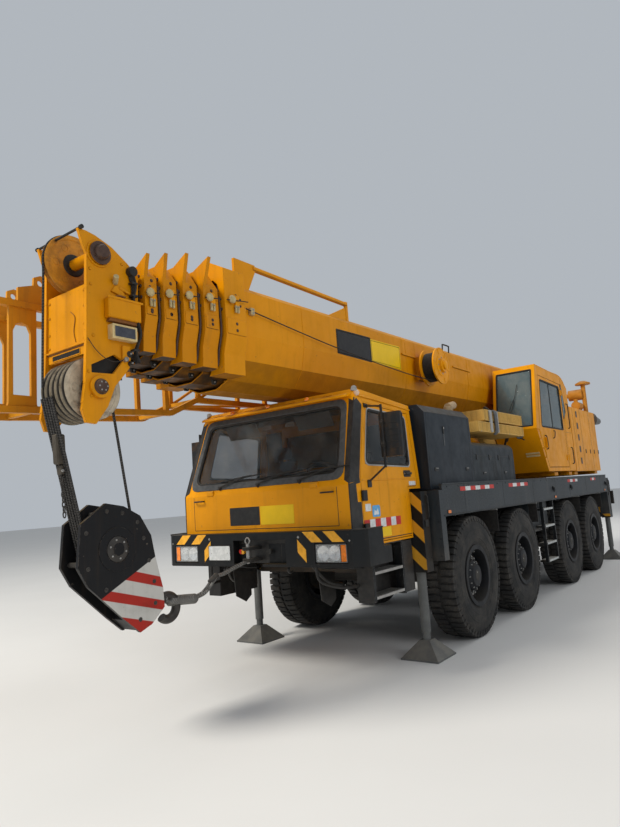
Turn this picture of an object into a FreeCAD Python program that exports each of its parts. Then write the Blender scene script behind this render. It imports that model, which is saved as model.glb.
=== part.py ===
import FreeCAD, Part
import os
from math import sin, cos, acos, atan2, radians, degrees, sqrt

# Four-axle telescopic mobile crane, parked with its boom stowed over the driver's cab,
# wheels and four jack pads on the ground. Millimetres.
# Working coordinates: x = 0 at the cab's front face, +x forward, +y left, z = 0 on the ground.
# Every piece is moved by SHIFT_X at the end, so that the row's origin lies under the middle.

SHIFT_X = 4008.0

# ---------------------------------------------------------------- driving dimensions
AXLE_X = [-2250.0, -3900.0, -6350.0, -8000.0]      # axle centres
STEERED = [True, True, False, False]
TYRE_R = 685.0
TYRE_W = 375.0
TYRE_Y = 1132.5                                     # wheel centre plane
RIM_R = 317.5
KINGPIN_Y = 930.0
WHEEL_Z = TYRE_R

CAB_HW = 1100.0                                     # cab half width below the waist
CAB_TOP_HW = 1035.0
CAB_FLOOR_Z = 1220.0
CAB_WAIST_Z = 1800.0
CAB_TOP_Z = 2740.0
CAB_WALL = 45.0
DOOR_GAP = 7.0
DOOR_T = 38.0

DECK_HW = 1320.0
DECK_Z = 1700.0
DECK_FRONT = -1470.0
DECK_REAR = -9430.0
CARRIER_REAR = -10330.0

SLEW_X = -7170.0
PIVOT = (-9300.0, 3200.0)                           # boom foot pin, x z
LUFF_BASE = (-8300.0, 2150.0)                       # luffing cylinder's lower pin
LUFF_PIN = (-3100.0, 2660.0)                        # its pin under the boom
BOOM_TOP = 3867.0                                   # top of boom before it is tipped
BOOM_TIP_DEG = 0.8                                  # the stowed boom points this far down
BOOM_REAR = -9600.0

SHEAVE_TOP = (2010.0, 3679.0)
SHEAVE_LOW = (2033.0, 2630.0)

# half section of the boom: y, depth below the top
BOOM_HALF = [(400, 0), (450, 50), (450, 480), (400, 710), (280, 890), (120, 960)]
BOOM_STEP = 40.0
BOOM_SKIN = 12.0
# front collar of each boom section: section, x from, x to, rise above boom top, depth of side, bulge, ear's tip y
COLLARS = [
    (0, 610, 880, 165, 878, 70, 0),
    (1, 920, 1095, 112, 838, 66, 558),
    (2, 1130, 1290, 112, 812, 64, 491),
    (3, 1325, 1465, 83, 780, 62, 430),
    (4, 1500, 1625, 50, 750, 60, 393),
]
EAR_T = 34.0

# outrigger beams: name, side, beam x, jack column x, jack y, column half sizes in x and y
OUTRIGGERS = [
    ("front_left", 1, -1300.0, -1230.0, 1105.0, 75.0, 115.0),
    ("front_right", -1, -1140.0, -1230.0, 1205.0, 75.0, 85.0),
    ("rear_left", 1, -9654.0, -9705.0, 1197.0, 115.0, 85.0),
    ("rear_right", -1, -9814.0, -9763.0, 1197.0, 115.0, 85.0),
]
BEAM_W, BEAM_Z0, BEAM_Z1 = 140.0, 878.0, 1102.0
COLUMN_Z0, COLUMN_Z1 = 860.0, 1690.0
PAD = 420.0

OUT = {}


# ---------------------------------------------------------------- helpers
def V(x, y, z):
    return FreeCAD.Vector(x, y, z)


def box(x0, x1, y0, y1, z0, z1):
    return Part.makeBox(x1 - x0, y1 - y0, z1 - z0, V(x0, y0, z0))


def sym(y0, y1):
    """the span y0..y1 on the left and its mirror on the right"""
    return [(y0, y1), (-y1, -y0)]


def poly_y(pts, y0, y1):
    """polygon in x z, run from y0 to y1"""
    w = Part.makePolygon([V(x, y0, z) for x, z in pts] + [V(pts[0][0], y0, pts[0][1])])
    return Part.Face(w).extrude(V(0, y1 - y0, 0))


def poly_x(pts, x0, x1):
    """polygon in y z, run from x0 to x1"""
    w = Part.makePolygon([V(x0, y, z) for y, z in pts] + [V(x0, pts[0][0], pts[0][1])])
    return Part.Face(w).extrude(V(x1 - x0, 0, 0))


def poly_z(pts, z0, z1):
    """polygon in x y, run from z0 to z1"""
    w = Part.makePolygon([V(x, y, z0) for x, y in pts] + [V(pts[0][0], pts[0][1], z0)])
    return Part.Face(w).extrude(V(0, 0, z1 - z0))


def cyl_y(x, z, r, y0, y1):
    return Part.makeCylinder(r, y1 - y0, V(x, y0, z), V(0, 1, 0))


def cyl_z(x, y, r, z0, z1):
    return Part.makeCylinder(r, z1 - z0, V(x, y, z0), V(0, 0, 1))


def cyl_x(y, z, r, x0, x1):
    return Part.makeCylinder(r, x1 - x0, V(x0, y, z), V(1, 0, 0))


def rod(p, q, r):
    d = q.sub(p)
    return Part.makeCylinder(r, d.Length, p, d)


def ring_y(pts, x, z):
    """closed outline in (y, r), turned about the axle at x z"""
    w = Part.makePolygon([V(x, y, z + r) for y, r in pts] + [V(x, pts[0][0], z + pts[0][1])])
    s = Part.Face(w).revolve(V(x, 0, z), V(0, 1, 0), 360)
    return s


def fuse(parts):
    s = parts[0]
    if len(parts) > 1:
        s = s.multiFuse(parts[1:])
    s = s.removeSplitter()
    return s


def mirror_y(s):
    return s.mirror(V(0, 0, 0), V(0, 1, 0))


def rounded_y(pts, y0, y1, radii):
    """polygon in x z with some corners rounded; radii by corner index"""
    s = poly_y(pts, y0, y1)
    if not radii:
        return s
    for i, r in radii:
        x, z = pts[i]
        es = [e for e in s.Edges if len(e.Vertexes) == 2
              and all(abs(v.X - x) < 0.5 and abs(v.Z - z) < 0.5 for v in e.Vertexes)]
        s = s.makeFillet(r, es)
    return s


def put(name, shape):
    if isinstance(shape, (list, tuple)):
        shape = Part.makeCompound(list(shape))
    OUT[name] = shape


def tip(shape):
    """tip a boom piece about the boom foot pin, nose down"""
    s = shape.copy()
    s.rotate(V(PIVOT[0], 0, PIVOT[1]), V(0, 1, 0), BOOM_TIP_DEG)
    return s


# ---------------------------------------------------------------- carrier frame
def chassis():
    rail = [(-60, 1119), (-1460, 1119), (-1460, 1000), (-2850, 1000), (-2850, 1650), (-1500, 1650),
            (-1500, 1205), (-60, 1205)]
    parts = []
    for y0, y1 in sym(340, 430):
        parts.append(poly_y(rail, y0, y1))
    parts.append(box(-180, -60, -430, 430, 1122, 1205))
    parts.append(box(-1500, -1462, -430, 430, 1122, 1650))
    rear = box(CARRIER_REAR + 120, -2800, -430, 430, 1000, 1650)
    rear = rear.cut(box(CARRIER_REAR + 140, -2830, -405, 405, 1025, 1625))
    # the rear jack box crosses below it
    rear = rear.cut(box(-9900, -9568, -500, 500, 990, BEAM_Z1 + 17))
    parts.append(rear)
    # suspension brackets over each axle
    for x in AXLE_X:
        for y0, y1 in sym(425, 590):
            parts.append(poly_x([(y0, 1600), (y1, 1600), (y1, 1480), (y0, 1480)], x - 70, x + 70))
    # seat of the slewing ring
    parts.append(cyl_z(SLEW_X, 0, 760, 1560, 1715))
    s = fuse(parts)
    # front tow clevis, on the crossmember below the bumper
    ear_lo = rounded_ear(30, 262, 0, 1130, 1160, 20.0)
    ear_hi = rounded_ear(30, 262, 0, 1240, 1270, 20.0)
    plate = box(-75, 32, -110, 110, 1122, 1210).fuse(box(6, 32, -110, 110, 1205, 1275))
    s = s.fuse(plate).fuse(ear_lo).fuse(ear_hi)
    # rear tow jaw
    rp = box(CARRIER_REAR + 60, CARRIER_REAR + 125, -160, 160, 1000, 1300)
    j_lo = rounded_ear(CARRIER_REAR + 70, CARRIER_REAR - 40, 0, 1080, 1115, 25.0)
    j_hi = rounded_ear(CARRIER_REAR + 70, CARRIER_REAR - 40, 0, 1200, 1235, 25.0)
    s = s.fuse(rp).fuse(j_lo).fuse(j_hi)
    return s.fuse([tail()] + outrigger_boxes()).removeSplitter()


def rounded_ear(x_root, x_tip, y, z0, z1, hole):
    """flat ear from x_root out to x_tip, with a vertical pin hole 55 mm short of the tip"""
    d = 1 if x_tip > x_root else -1
    cx = x_tip - d * 55
    a, b = sorted((x_root, cx))
    e = box(a, b, y - 55, y + 55, z0, z1).fuse(cyl_z(cx, y, 55, z0, z1))
    return e.cut(cyl_z(cx, y, hole, z0 - 5, z1 + 5))


def deck():
    top = box(CARRIER_REAR + 420, DECK_FRONT, -DECK_HW + 25, DECK_HW - 25, 1650, DECK_Z)
    top = top.cut(cyl_z(SLEW_X, 0, 790, 1600, 1750))
    top = top.cut(box(-2640, -1540, -338, 338, 1600, 1750))
    # clear the rear jack columns, which stand outboard of a narrower tail
    for y0, y1 in sym(1060, 1400):
        top = top.cut(box(-10400, DECK_REAR, y0, y1, 1600, 1800))
    parts = [top]
    for y0, y1 in sym(DECK_HW - 30, DECK_HW):
        parts.append(box(DECK_REAR, DECK_FRONT, y0, y1, 1405, 1760))
    # guards between the second and third axle, behind the ladders, and at both ends
    for y0, y1 in sym(1140, DECK_HW):
        parts.append(box(DECK_FRONT - 30, DECK_FRONT + 85, y0, y1, 950, 1690))
        parts.append(box(DECK_REAR, DECK_REAR + 30, y0, y1, 950, 1690))
    # lockers below the deck between the second and third axle
    for y0, y1 in sym(700, 1180):
        parts.append(box(-5560, -4660, y0, y1, 960, 1652))
    # low walls at the sides of the tail
    for y0, y1 in sym(1000, 1050):
        parts.append(box(-9900, DECK_REAR + 10, y0, y1, 1480, 1690))
    return fuse(parts)


def tail():
    """rear cross beam that carries the tail lamps"""
    s = box(CARRIER_REAR, CARRIER_REAR + 60, -1250, 1250, 1120, 1400)
    s = s.cut(box(CARRIER_REAR - 10, CARRIER_REAR + 70, -180, 180, 1060, 1310))
    for y0, y1 in sym(460, 540):
        s = s.fuse(box(CARRIER_REAR + 55, -9891, y0, y1, 1085, 1360))
    return s.removeSplitter()


def outrigger_boxes():
    out = []
    for xs in ([-1300.0, -1140.0], [-9654.0, -9814.0]):
        xa, xb = min(xs) - BEAM_W / 2 - 16, max(xs) + BEAM_W / 2 + 16
        b = box(xa, xb, -980, 980, BEAM_Z0 - 18, BEAM_Z1 + 18)
        for x in xs:
            b = b.cut(box(x - BEAM_W / 2 - 6, x + BEAM_W / 2 + 6, -1100, 1100, BEAM_Z0 - 6, BEAM_Z1 + 6))
        out.append(b)
    return out


def outrigger_beam(side, bx, cx, jy, hx, hy):
    s = box(bx - BEAM_W / 2, bx + BEAM_W / 2, -880, jy - hy + 1, BEAM_Z0, BEAM_Z1)
    col = box(cx - hx, cx + hx, jy - hy, jy + hy, COLUMN_Z0, COLUMN_Z1)
    s = s.fuse(col)
    s = s.cut(cyl_z(cx, jy, 54, COLUMN_Z0 - 5, COLUMN_Z1 - 20))
    if side < 0:
        s = mirror_y(s)
    return s.removeSplitter()


def jack(side, cx, jy):
    y = jy * side

    def sq(h, z):
        return Part.makePolygon([V(cx - h, y - h, z), V(cx + h, y - h, z), V(cx + h, y + h, z),
                                 V(cx - h, y + h, z), V(cx - h, y - h, z)])
    foot = Part.makeBox(PAD, PAD, 18, V(cx - PAD / 2, y - PAD / 2, 0))
    cone = Part.makeLoft([sq(PAD / 2 - 4, 18), sq(58, 178)], True, True)
    neck = cyl_z(cx, y, 40, 178, 250)
    r = cyl_z(cx, y, 50, 250, 1120)
    return foot.fuse([cone, neck, r]).removeSplitter()


# ---------------------------------------------------------------- axles and wheels
def axle(x, steered):
    z = WHEEL_Z
    parts = [cyl_y(x, z, 95, -790, 790), cyl_y(x, z, 215, -130, 130)]
    bowl = Part.makeCone(215, 110, 150, V(x, 130, z), V(0, 1, 0))
    parts += [bowl, mirror_y(bowl)]
    for s in (1, -1):
        # suspension strut up to the bracket on the frame
        parts.append(cyl_z(x, s * 520, 48, z, 1478))
        if steered:
            for z0, z1 in ((z + 168, z + 205), (z - 205, z - 168)):
                arm = box(x - 55, x + 55, min(s * 700, s * KINGPIN_Y), max(s * 700, s * KINGPIN_Y), z0, z1)
                parts.append(arm.fuse(cyl_z(x, s * KINGPIN_Y, 55, z0, z1)))
            parts.append(box(x - 70, x + 70, min(s * 700, s * 815), max(s * 700, s * 815), z - 205, z + 205))
        else:
            parts.append(cyl_y(x, z, 95, *sorted((s * 780, s * 960))))
            parts.append(cyl_y(x, z, 215, *sorted((s * 950, s * 1140))))
            parts.append(cyl_y(x, z, 60, *sorted((s * 1135, s * 1250))))
    return fuse(parts)


def knuckle(x, s):
    z = WHEEL_Z
    parts = [cyl_z(x, s * KINGPIN_Y, 52, z - 162, z + 162)]
    parts.append(cyl_y(x, z, 105, *sorted((s * KINGPIN_Y, s * 1005))))
    parts.append(cyl_y(x, z, 215, *sorted((s * 996, s * 1140))))
    parts.append(cyl_y(x, z, 60, *sorted((s * 1135, s * 1250))))
    return fuse(parts)


def wheel(x, s):
    """tyre and rim, 1 mm apart"""
    z = WHEEL_Z
    h = TYRE_W / 2
    prof = [(-h + 35, TYRE_R), (h - 35, TYRE_R), (h - 6, TYRE_R - 62), (h, 500), (h - 12, 392), (h - 22, RIM_R + 42),
            (h - 22, RIM_R + 1), (-h + 22, RIM_R + 1), (-h + 22, RIM_R + 42), (-h + 12, 392), (-h, 500),
            (-h + 6, TYRE_R - 62)]
    tyre = ring_y([(s * TYRE_Y + a, r) for a, r in prof], x, z)

    def rr(pts):
        return ring_y([(s * (TYRE_Y + a), r) for a, r in pts], x, z)
    # barrel with both flanges
    barrel = rr([(-h + 23, RIM_R), (h - 23, RIM_R), (h - 21, RIM_R + 30), (h - 9, RIM_R + 30), (h - 9, RIM_R - 22),
                 (-h + 9, RIM_R - 22), (-h + 9, RIM_R + 30), (-h + 21, RIM_R + 30)])
    disc = rr([(18, 300), (42, 300), (62, 205), (62, 61), (40, 61), (38, 205)])
    hub = rr([(60, 175), (118, 168), (150, 120), (166, 110), (166, 0.0), (124, 0.0), (124, 60.6), (60, 60.6)])
    rim = barrel.fuse([disc, hub]).removeSplitter()
    return [tyre, rim]


# ---------------------------------------------------------------- driver's cab
CAB_SIDE = [(0, 1220), (0, 1800), (-300, 2665), (-350, CAB_TOP_Z), (-1400, 2640), (-1400, 1725), (-1142, 1725),
            (-1142, 1220)]
CAB_SIDE_IN = [(-45, 1265), (-45, 1800), (-338, 2640), (-380, 2692), (-1355, 2595), (-1355, 1770), (-1097, 1770),
               (-1097, 1265)]
DOOR_SIDE = [(-205, 1240), (-205, 1840), (-430, 2600), (-1335, 2548), (-1335, 1790), (-1300, 1750), (-1128, 1750),
             (-1128, 1240)]


def cab_front_section(d):
    """outline in y z, d = inset"""
    w, t = CAB_HW - d, CAB_TOP_HW - d
    return [(-w, 1200), (-w, CAB_WAIST_Z), (-t, 2800), (t, 2800), (w, CAB_WAIST_Z), (w, 1200)]


def cab_outer():
    return poly_y(CAB_SIDE, -1200, 1200).common(poly_x(cab_front_section(0), -1500, 100))


def cab_inner():
    return poly_y(CAB_SIDE_IN, -1200, 1200).common(poly_x(cab_front_section(CAB_WALL), -1500, 100))


def inset_poly(pts, d):
    """inset a closed convex outline, given clockwise or not, by d"""
    n = len(pts)
    cx = sum(p[0] for p in pts) / n
    cz = sum(p[1] for p in pts) / n
    lines = []
    for i in range(n):
        (x0, z0), (x1, z1) = pts[i], pts[(i + 1) % n]
        dx, dz = x1 - x0, z1 - z0
        l = sqrt(dx * dx + dz * dz)
        nx, nz = -dz / l, dx / l
        if (cx - x0) * nx + (cz - z0) * nz < 0:
            nx, nz = -nx, -nz
        lines.append((x0 + nx * d, z0 + nz * d, dx / l, dz / l))
    out = []
    for i in range(n):
        x0, z0, ax, az = lines[i - 1]
        x1, z1, bx, bz = lines[i]
        det = ax * (-bz) - az * (-bx)
        t = ((x1 - x0) * (-bz) - (z1 - z0) * (-bx)) / det
        out.append((x0 + ax * t, z0 + az * t))
    return out


CAB_HINGE = (-200.0, 1116.0)                          # door hinge axis, x y (left)
HINGE_Z = ((1330, 1430), (1640, 1740))
WIN_DOOR = [(-330, 1988), (-498, 2548), (-1262, 2505), (-1222, 1966)]
WS_YZ = [(-985, 1900), (-925, 2600), (925, 2600), (985, 1900)]


def cab():
    wall = cab_outer().cut(cab_inner())
    shell = wall.cut(poly_x(WS_YZ, -420, 100))
    side_band = poly_x(cab_front_section(-20), -1500, 100).cut(poly_x(cab_front_section(CAB_WALL), -1500, 100))
    door_band = poly_x(cab_front_section(0), -1500, 100).cut(poly_x(cab_front_section(DOOR_T), -1500, 100))
    for y0, y1 in sym(900, 1300):
        shell = shell.cut(side_band.common(poly_y(DOOR_SIDE, y0, y1)))
    # rear window
    shell = shell.cut(box(-1500, -1300, -700, 700, 2060, 2480))
    put("cab_shell", shell.removeSplitter())
    doors = {}
    for name, s in (("left", 1), ("right", -1)):
        outline = poly_y(inset_poly(DOOR_SIDE, DOOR_GAP), *sorted((s * 900, s * 1300)))
        d = door_band.common(outline)
        d = d.cut(poly_y(WIN_DOOR, *sorted((s * 800, s * 1400))))
        # mirror on an upright arm off the door's front edge
        arm_hi = rod(V(-474, s * 1032, 2571), V(-413, s * 1262, 2535), 9)
        arm = rod(V(-413, s * 1262, 2550), V(-413, s * 1262, 1940), 13)
        arm_lo = rod(V(-413, s * 1262, 1955), V(-352, s * 1080, 1800), 10)
        head = box(-500, -425, *sorted((s * 1210, s * 1442)), 2042, 2468)
        head = head.makeFillet(25, [e for e in head.Edges if abs(e.tangentAt(e.FirstParameter).z) > 0.9])
        d = fuse([d, arm_lo, arm, arm_hi, head])
        # hinge barrels on the front edge
        hx, hy = CAB_HINGE
        for z0, z1 in HINGE_Z:
            d = d.fuse([cyl_z(hx, s * hy, 12, z0, z1), box(-290, -214, *sorted((s * 1096, s * 1112)), z0, z1),
                        box(-216, hx, *sorted((s * 1107, s * 1114)), z0, z1)])
        put("cab_door_" + name, d.removeSplitter())
    # fixed panes: windscreen, rear window
    thin = poly_y([(-20 - (1900 - 1800) * 0.3468, 1900), (-20 - (2600 - 1800) * 0.3468, 2600),
                   (-26 - (2600 - 1800) * 0.3468, 2600), (-26 - (1900 - 1800) * 0.3468, 1900)], -1000, 1000)
    screen = thin.common(poly_x([(-984.5, 1900.5), (-924.5, 2599.5), (924.5, 2599.5), (984.5, 1900.5)], -500, 100))
    rear = box(-1381, -1375, -699.5, 699.5, 2060.5, 2479.5)
    glass = [screen, rear]
    put("cab_glass", glass)
    # seats and dashboard with the steering wheel
    seats = []
    for y in (520, -520):
        base = box(-1010, -560, y - 230, y + 230, 1267, 1600)
        cush = box(-1040, -530, y - 240, y + 240, 1600, 1720)
        back = poly_y([(-935, 1720), (-1040, 1720), (-1085, 2330), (-1000, 2330)], y - 225, y + 225)
        seats.append(fuse([base, cush, back]))
    put("cab_seats", seats)
    dash = poly_y([(-47, 1500), (-47, 1790), (-95, 1830), (-330, 1830), (-380, 1700), (-330, 1500)], -1030, 1030)
    col = rod(V(-300, 520, 1700), V(-470, 520, 1880), 30)
    wheel_c = V(-490, 520, 1900)
    w = Part.makeTorus(215, 16, wheel_c, V(-0.69, 0, 0.73))
    hubs = Part.makeCylinder(45, 45, wheel_c.add(V(0.69 * 34, 0, -0.73 * 34)), V(-0.69, 0, 0.73))
    spokes = [rod(wheel_c, wheel_c.add(V(0, 215, 0)), 13), rod(wheel_c, wheel_c.add(V(0, -215, 0)), 13),
              rod(wheel_c, wheel_c.add(V(-0.73 * 215, 0, -0.69 * 215)), 13)]
    put("dashboard", fuse([dash, col, w, hubs] + spokes))


# ---------------------------------------------------------------- front bumper
def bumper():
    # wrap-round bumper: top band, lower apron, recessed middle
    s = poly_z([(-330, 1300), (60, 1300), (150, 1180), (150, -1180), (60, -1300), (-330, -1300), (-330, -1215),
                (8, -1215), (8, 1215), (-330, 1215)], 1075, 1400)
    # lamp pockets and the middle recess
    for y0, y1 in sym(770, 1130):
        s = s.cut(box(110, 160, y0, y1, 1110, 1290))
    s = s.cut(box(60, 160, -250, 430, 1100, 1330))
    s = s.cut(box(-20, 160, -130, 130, 1060, 1290))
    # apron that runs back under the cab
    for y0, y1 in sym(450, 1000):
        s = s.fuse(poly_y([(60, 1078), (-10, 1078), (-420, 985), (-420, 1010), (-20, 1110), (60, 1110)], y0, y1))
    # its ends stop short of the doors
    for y0, y1 in sym(1150, 1310):
        s = s.cut(box(-340, -196, y0, y1, 1228, 1410))
    return s.removeSplitter()


def lamps():
    out = []
    for y0, y1 in sym(776, 1124):
        out.append(box(112, 148, y0, y1, 1116, 1284))
    # tail lamps
    for y0, y1 in sym(860, 1230):
        out.append(box(CARRIER_REAR - 32, CARRIER_REAR - 0.2, y0, y1, 1190, 1330))
    return out


def ladders():
    """boarding ladders and cab steps"""
    out = []
    # tall ladder between axles 2 and 3, both sides
    for s in (1, -1):
        parts = []
        for x in (-5470, -4950):
            parts.append(box(x, x + 30, *sorted((s * 1272, s * 1318)), 500, 1404))
        for z in (505, 760, 1015, 1270):
            parts.append(box(-5470, -4920, *sorted((s * 1190, s * 1318)), z, z + 28))
        for x in (-5470, -4950):
            parts.append(box(x, x + 30, *sorted((s * 1268, s * 1280)), 1000, 1404))
        out.append(fuse(parts))
    # two steps below each cab door
    for s in (1, -1):
        parts = [box(-330, -300, *sorted((s * 1010, s * 1098)), 700, 1218),
                 box(-900, -870, *sorted((s * 1010, s * 1098)), 700, 1218)]
        for z in (720, 945):
            parts.append(box(-900, -300, *sorted((s * 930, s * 1098)), z, z + 25))
        out.append(fuse(parts))
    return out


# ---------------------------------------------------------------- equipment on the deck
def hood():
    o = poly_x([(-1200, 1702), (-1200, 2560), (-1120, 2650), (1120, 2650), (1200, 2560), (1200, 1702)], -2700, -1450)
    i = poly_x([(-1175, 1690), (-1175, 2550), (-1108, 2625), (1108, 2625), (1175, 2550), (1175, 1690)], -2675, -1475)
    s = o.cut(i)
    # exhaust elbow on the hood's rear top corner
    ex = rod(V(-2450, 1050, 2630), V(-2450, 1050, 2712), 54).fuse(rod(V(-2445, 1050, 2704), V(-2610, 1050, 2742), 50))
    return s.fuse(ex).removeSplitter()


def engine():
    return box(-2600, -1600, -300, 300, 1020, 1980)


def toolbox():
    """dark locker with a rounded top behind the hood, and its twin on the other side"""
    out = []
    for s in (1, -1):
        y0, y1 = sorted((s * 560, s * 1160))
        b = box(-4330, -2760, y0, y1, 1702, 2280)
        es = [e for e in b.Edges if abs(e.tangentAt(e.FirstParameter).x) > 0.9
              and all(v.Z > 2270 for v in e.Vertexes)]
        b = b.makeFillet(110, es)
        out.append(b)
    return out


# ---------------------------------------------------------------- slewing upper works
def turntable():
    ring = cyl_z(SLEW_X, 0, 735, 1722, 1790)
    plate = poly_z([(-6150, 520), (-6150, -520), (-9700, -620), (-9700, 620)], 1790, 1850)
    parts = [ring, plate]
    # cross arms that carry the crane cab and the machinery hoods
    for x in (-6400, -7300, -7700, -9300):
        parts.append(box(x, x + 200, -1200, 1200, 1790, 1850))
    cheek = [(-6500, 1850), (-6900, 2120), (-8600, 2500), (-8990, 3300), (-9160, 3420), (-9440, 3420), (-9620, 3250),
             (-9700, 2400), (-9700, 1850)]
    for y0, y1 in sym(475, 535):
        parts.append(poly_y(cheek, y0, y1))
    # cross wall and the luffing cylinder's base ears
    parts.append(box(-9700, -9640, -480, 480, 1850, 2700))
    for y0, y1 in sym(150, 200):
        parts.append(poly_y([(-8560, 1850), (-8440, 2260), (-8160, 2260), (-8040, 1850)], y0, y1))
    s = fuse(parts)
    s = s.cut(cyl_y(PIVOT[0], PIVOT[1], 90.5, -600, 600))
    # pin of the luffing cylinder, fixed in its ears
    s = s.fuse(cyl_y(LUFF_BASE[0], LUFF_BASE[1], 60, -198, 198))
    return s.removeSplitter()


def house():
    """left and right machinery hoods and the rear ballast seat"""
    left = poly_z([(-7480, 560), (-7480, 1250), (-9420, 1250), (-9560, 1100), (-9560, 560)], 1850, 3070)
    left = left.cut(poly_z([(-7505, 585), (-7505, 1225), (-9410, 1225), (-9535, 1090), (-9535, 585)], 1880, 3045))
    right = poly_z([(-6300, -560), (-6300, -1230), (-9420, -1250), (-9560, -1100), (-9560, -560)], 1850, 2860)
    right = right.cut(poly_z([(-6325, -585), (-6325, -1205), (-9410, -1225), (-9535, -1090), (-9535, -585)], 1880, 2835))
    # ties into the side cheeks
    left = left.fuse(box(-9400, -7600, 535, 562, 1900, 2100))
    right = right.fuse(box(-9400, -7600, -562, -535, 1900, 2100))
    return [left.removeSplitter(), right.removeSplitter()]


def stack():
    """air filter with its mushroom cap, the muffler in front of it and a tapered duct behind, at the left hood"""
    x, y = -9200.0, 1160.0
    a = fuse([cyl_z(x, y, 45, 3071, 3690), cyl_y(x, 3480, 115, 860, 1140), cyl_y(x, 3480, 45, 800, 870),
              cyl_z(x, y, 150, 3680, 3712), Part.makeCone(150, 60, 45, V(x, y, 3712), V(0, 0, 1))])
    m = fuse([cyl_x(1062, 3215, 88, -9090, -8800), cyl_z(-8950, 1062, 34, 3071, 3140),
              rod(V(-8860, 1062, 3280), V(-8860, 1062, 3350), 40)])
    d = Part.makeCone(135, 70, 740, V(-9562, 1130, 2960), V(-1, 0, 0)).fuse(cyl_x(1130, 2960, 150, -9590, -9562))
    return [a, m, d]


UCAB_SIDE = [(-5730, 1862), (-5330, 2560), (-5590, 3640), (-7080, 3600), (-7440, 3400), (-7440, 1862)]
UDOOR = [(-5800, 1930), (-5480, 2500), (-5700, 3470), (-6980, 3440), (-6980, 1930)]
UWIN = [(-5620, 2600), (-5780, 3400), (-6900, 3380), (-6900, 2600)]
UC_Y0, UC_Y1, UC_W = 545.0, 1250.0, 40.0
UHINGE = (-6980.0, 1265.0)                            # door hinge axis, x y


def crane_cab():
    outer = poly_y(UCAB_SIDE, UC_Y0, UC_Y1)
    inner = poly_y(inset_poly_any(UCAB_SIDE, UC_W), UC_Y0 + UC_W, UC_Y1 - UC_W)
    wall = outer.cut(inner)
    front = poly_x([(600, 2600), (600, 3560), (1195, 3560), (1195, 2600)], -5900, -5200)
    roofwin = poly_z([(-5850, 640), (-5850, 1155), (-6900, 1155), (-6900, 640)], 3500, 3700)
    shell = wall.cut(front).cut(roofwin)
    hole = poly_y(UDOOR, UC_Y1 - UC_W - 5, UC_Y1 + 20)
    shell = shell.cut(hole)
    # rear window
    shell = shell.cut(box(-7500, -7380, 640, 1150, 2700, 3300))
    # feet on the turntable
    feet = [box(x, x + 200, 560, 1150, 1850, 1864) for x in (-6400, -7300)]
    shell = shell.fuse(feet)
    put("crane_cab_shell", shell.removeSplitter())
    d = wall.common(poly_y(inset_poly(UDOOR, DOOR_GAP), UC_Y1 - UC_W, UC_Y1))
    win = poly_y(UWIN, UC_Y1 - 100, UC_Y1 + 20)
    d = d.cut(win)
    handle = box(-5730, -5700, UC_Y1 - 1, UC_Y1 + 35, 2250, 2420)
    barrels = []
    for z0, z1 in ((2050, 2150), (3230, 3330)):
        barrels += [cyl_z(UHINGE[0], UHINGE[1], 12, z0, z1), box(-6971, -6900, UC_Y1 - 4, UC_Y1 + 14, z0, z1),
                    box(UHINGE[0], -6970, UC_Y1 + 6, UC_Y1 + 14, z0, z1)]
    put("crane_cab_door", d.fuse([handle] + barrels).removeSplitter())
    # front pane in the slanted face, roof pane, rear pane
    sl = (-5590 + 5330) / (3640.0 - 2560.0)

    def fx(z, d):
        return -5330 + sl * (z - 2560) - d
    fr = poly_y([(fx(2600.5, 18), 2600.5), (fx(3559.5, 18), 3559.5), (fx(3559.5, 24), 3559.5), (fx(2600.5, 24), 2600.5)],
                600.5, 1194.5)
    rs = (3600 - 3640.0) / (-7080 + 5590.0)

    def rz(x, d):
        return 3640 + rs * (x + 5590) - d
    rf = poly_y([(-5850.5, rz(-5850.5, 18)), (-6899.5, rz(-6899.5, 18)), (-6899.5, rz(-6899.5, 24)),
                 (-5850.5, rz(-5850.5, 24))], 640.5, 1154.5)
    re = box(-7428, -7422, 640.5, 1149.5, 2700.5, 3299.5)
    put("crane_cab_glass", [fr, rf, re])
    base = box(-6900, -6450, 680, 1090, 1903, 2280)
    cush = box(-6930, -6410, 670, 1100, 2280, 2400)
    back = poly_y([(-6830, 2400), (-6935, 2400), (-7010, 3120), (-6925, 3120)], 690, 1080)
    con = box(-6250, -6100, 620, 1150, 1903, 2350)
    put("crane_seat", [fuse([base, cush, back]), con])


def inset_poly_any(pts, d):
    """inset by d of an outline whose corners may be concave: uses the offset tool"""
    w = Part.makePolygon([V(x, 0, z) for x, z in pts] + [V(pts[0][0], 0, pts[0][1])])
    f = Part.Face(w).makeOffset2D(-d, 2)
    return [(v.X, v.Z) for v in f.OuterWire.OrderedVertexes]


def cooler():
    """two stacked oil coolers in front of the crane cab, on an arm from the turntable"""
    a = box(-4950, -3130, 660, 1150, 2420, 2560)
    b = box(-4950, -3400, 640, 1140, 2585, 2740)
    tie = [box(-4900, -4700, 700, 1100, 2559, 2586), box(-3700, -3500, 700, 1100, 2559, 2586)]
    # carrying arm back to the turntable's front
    arm = [box(-5400, -4880, 600, 660, 2430, 2540), poly_y([(-5400, 2430), (-5400, 2540), (-5250, 2540)], 600, 660)]
    arm = [poly_y([(-4850, 2440), (-4850, 2540), (-5330, 2540), (-6250, 1960), (-6250, 1851), (-6130, 1851)], 440, 520),
           box(-4950, -4850, 440, 700, 2440, 2540)]
    return fuse([a, b] + tie + arm)


def winch():
    s = cyl_y(-9130, 2330, 170, -330, 330)
    for y0, y1 in sym(330, 372):
        s = s.fuse(cyl_y(-9130, 2330, 290, y0, y1))
    # stub shafts to the cheeks
    return s.fuse(cyl_y(-9130, 2330, 60, -472, 472)).removeSplitter()


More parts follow.
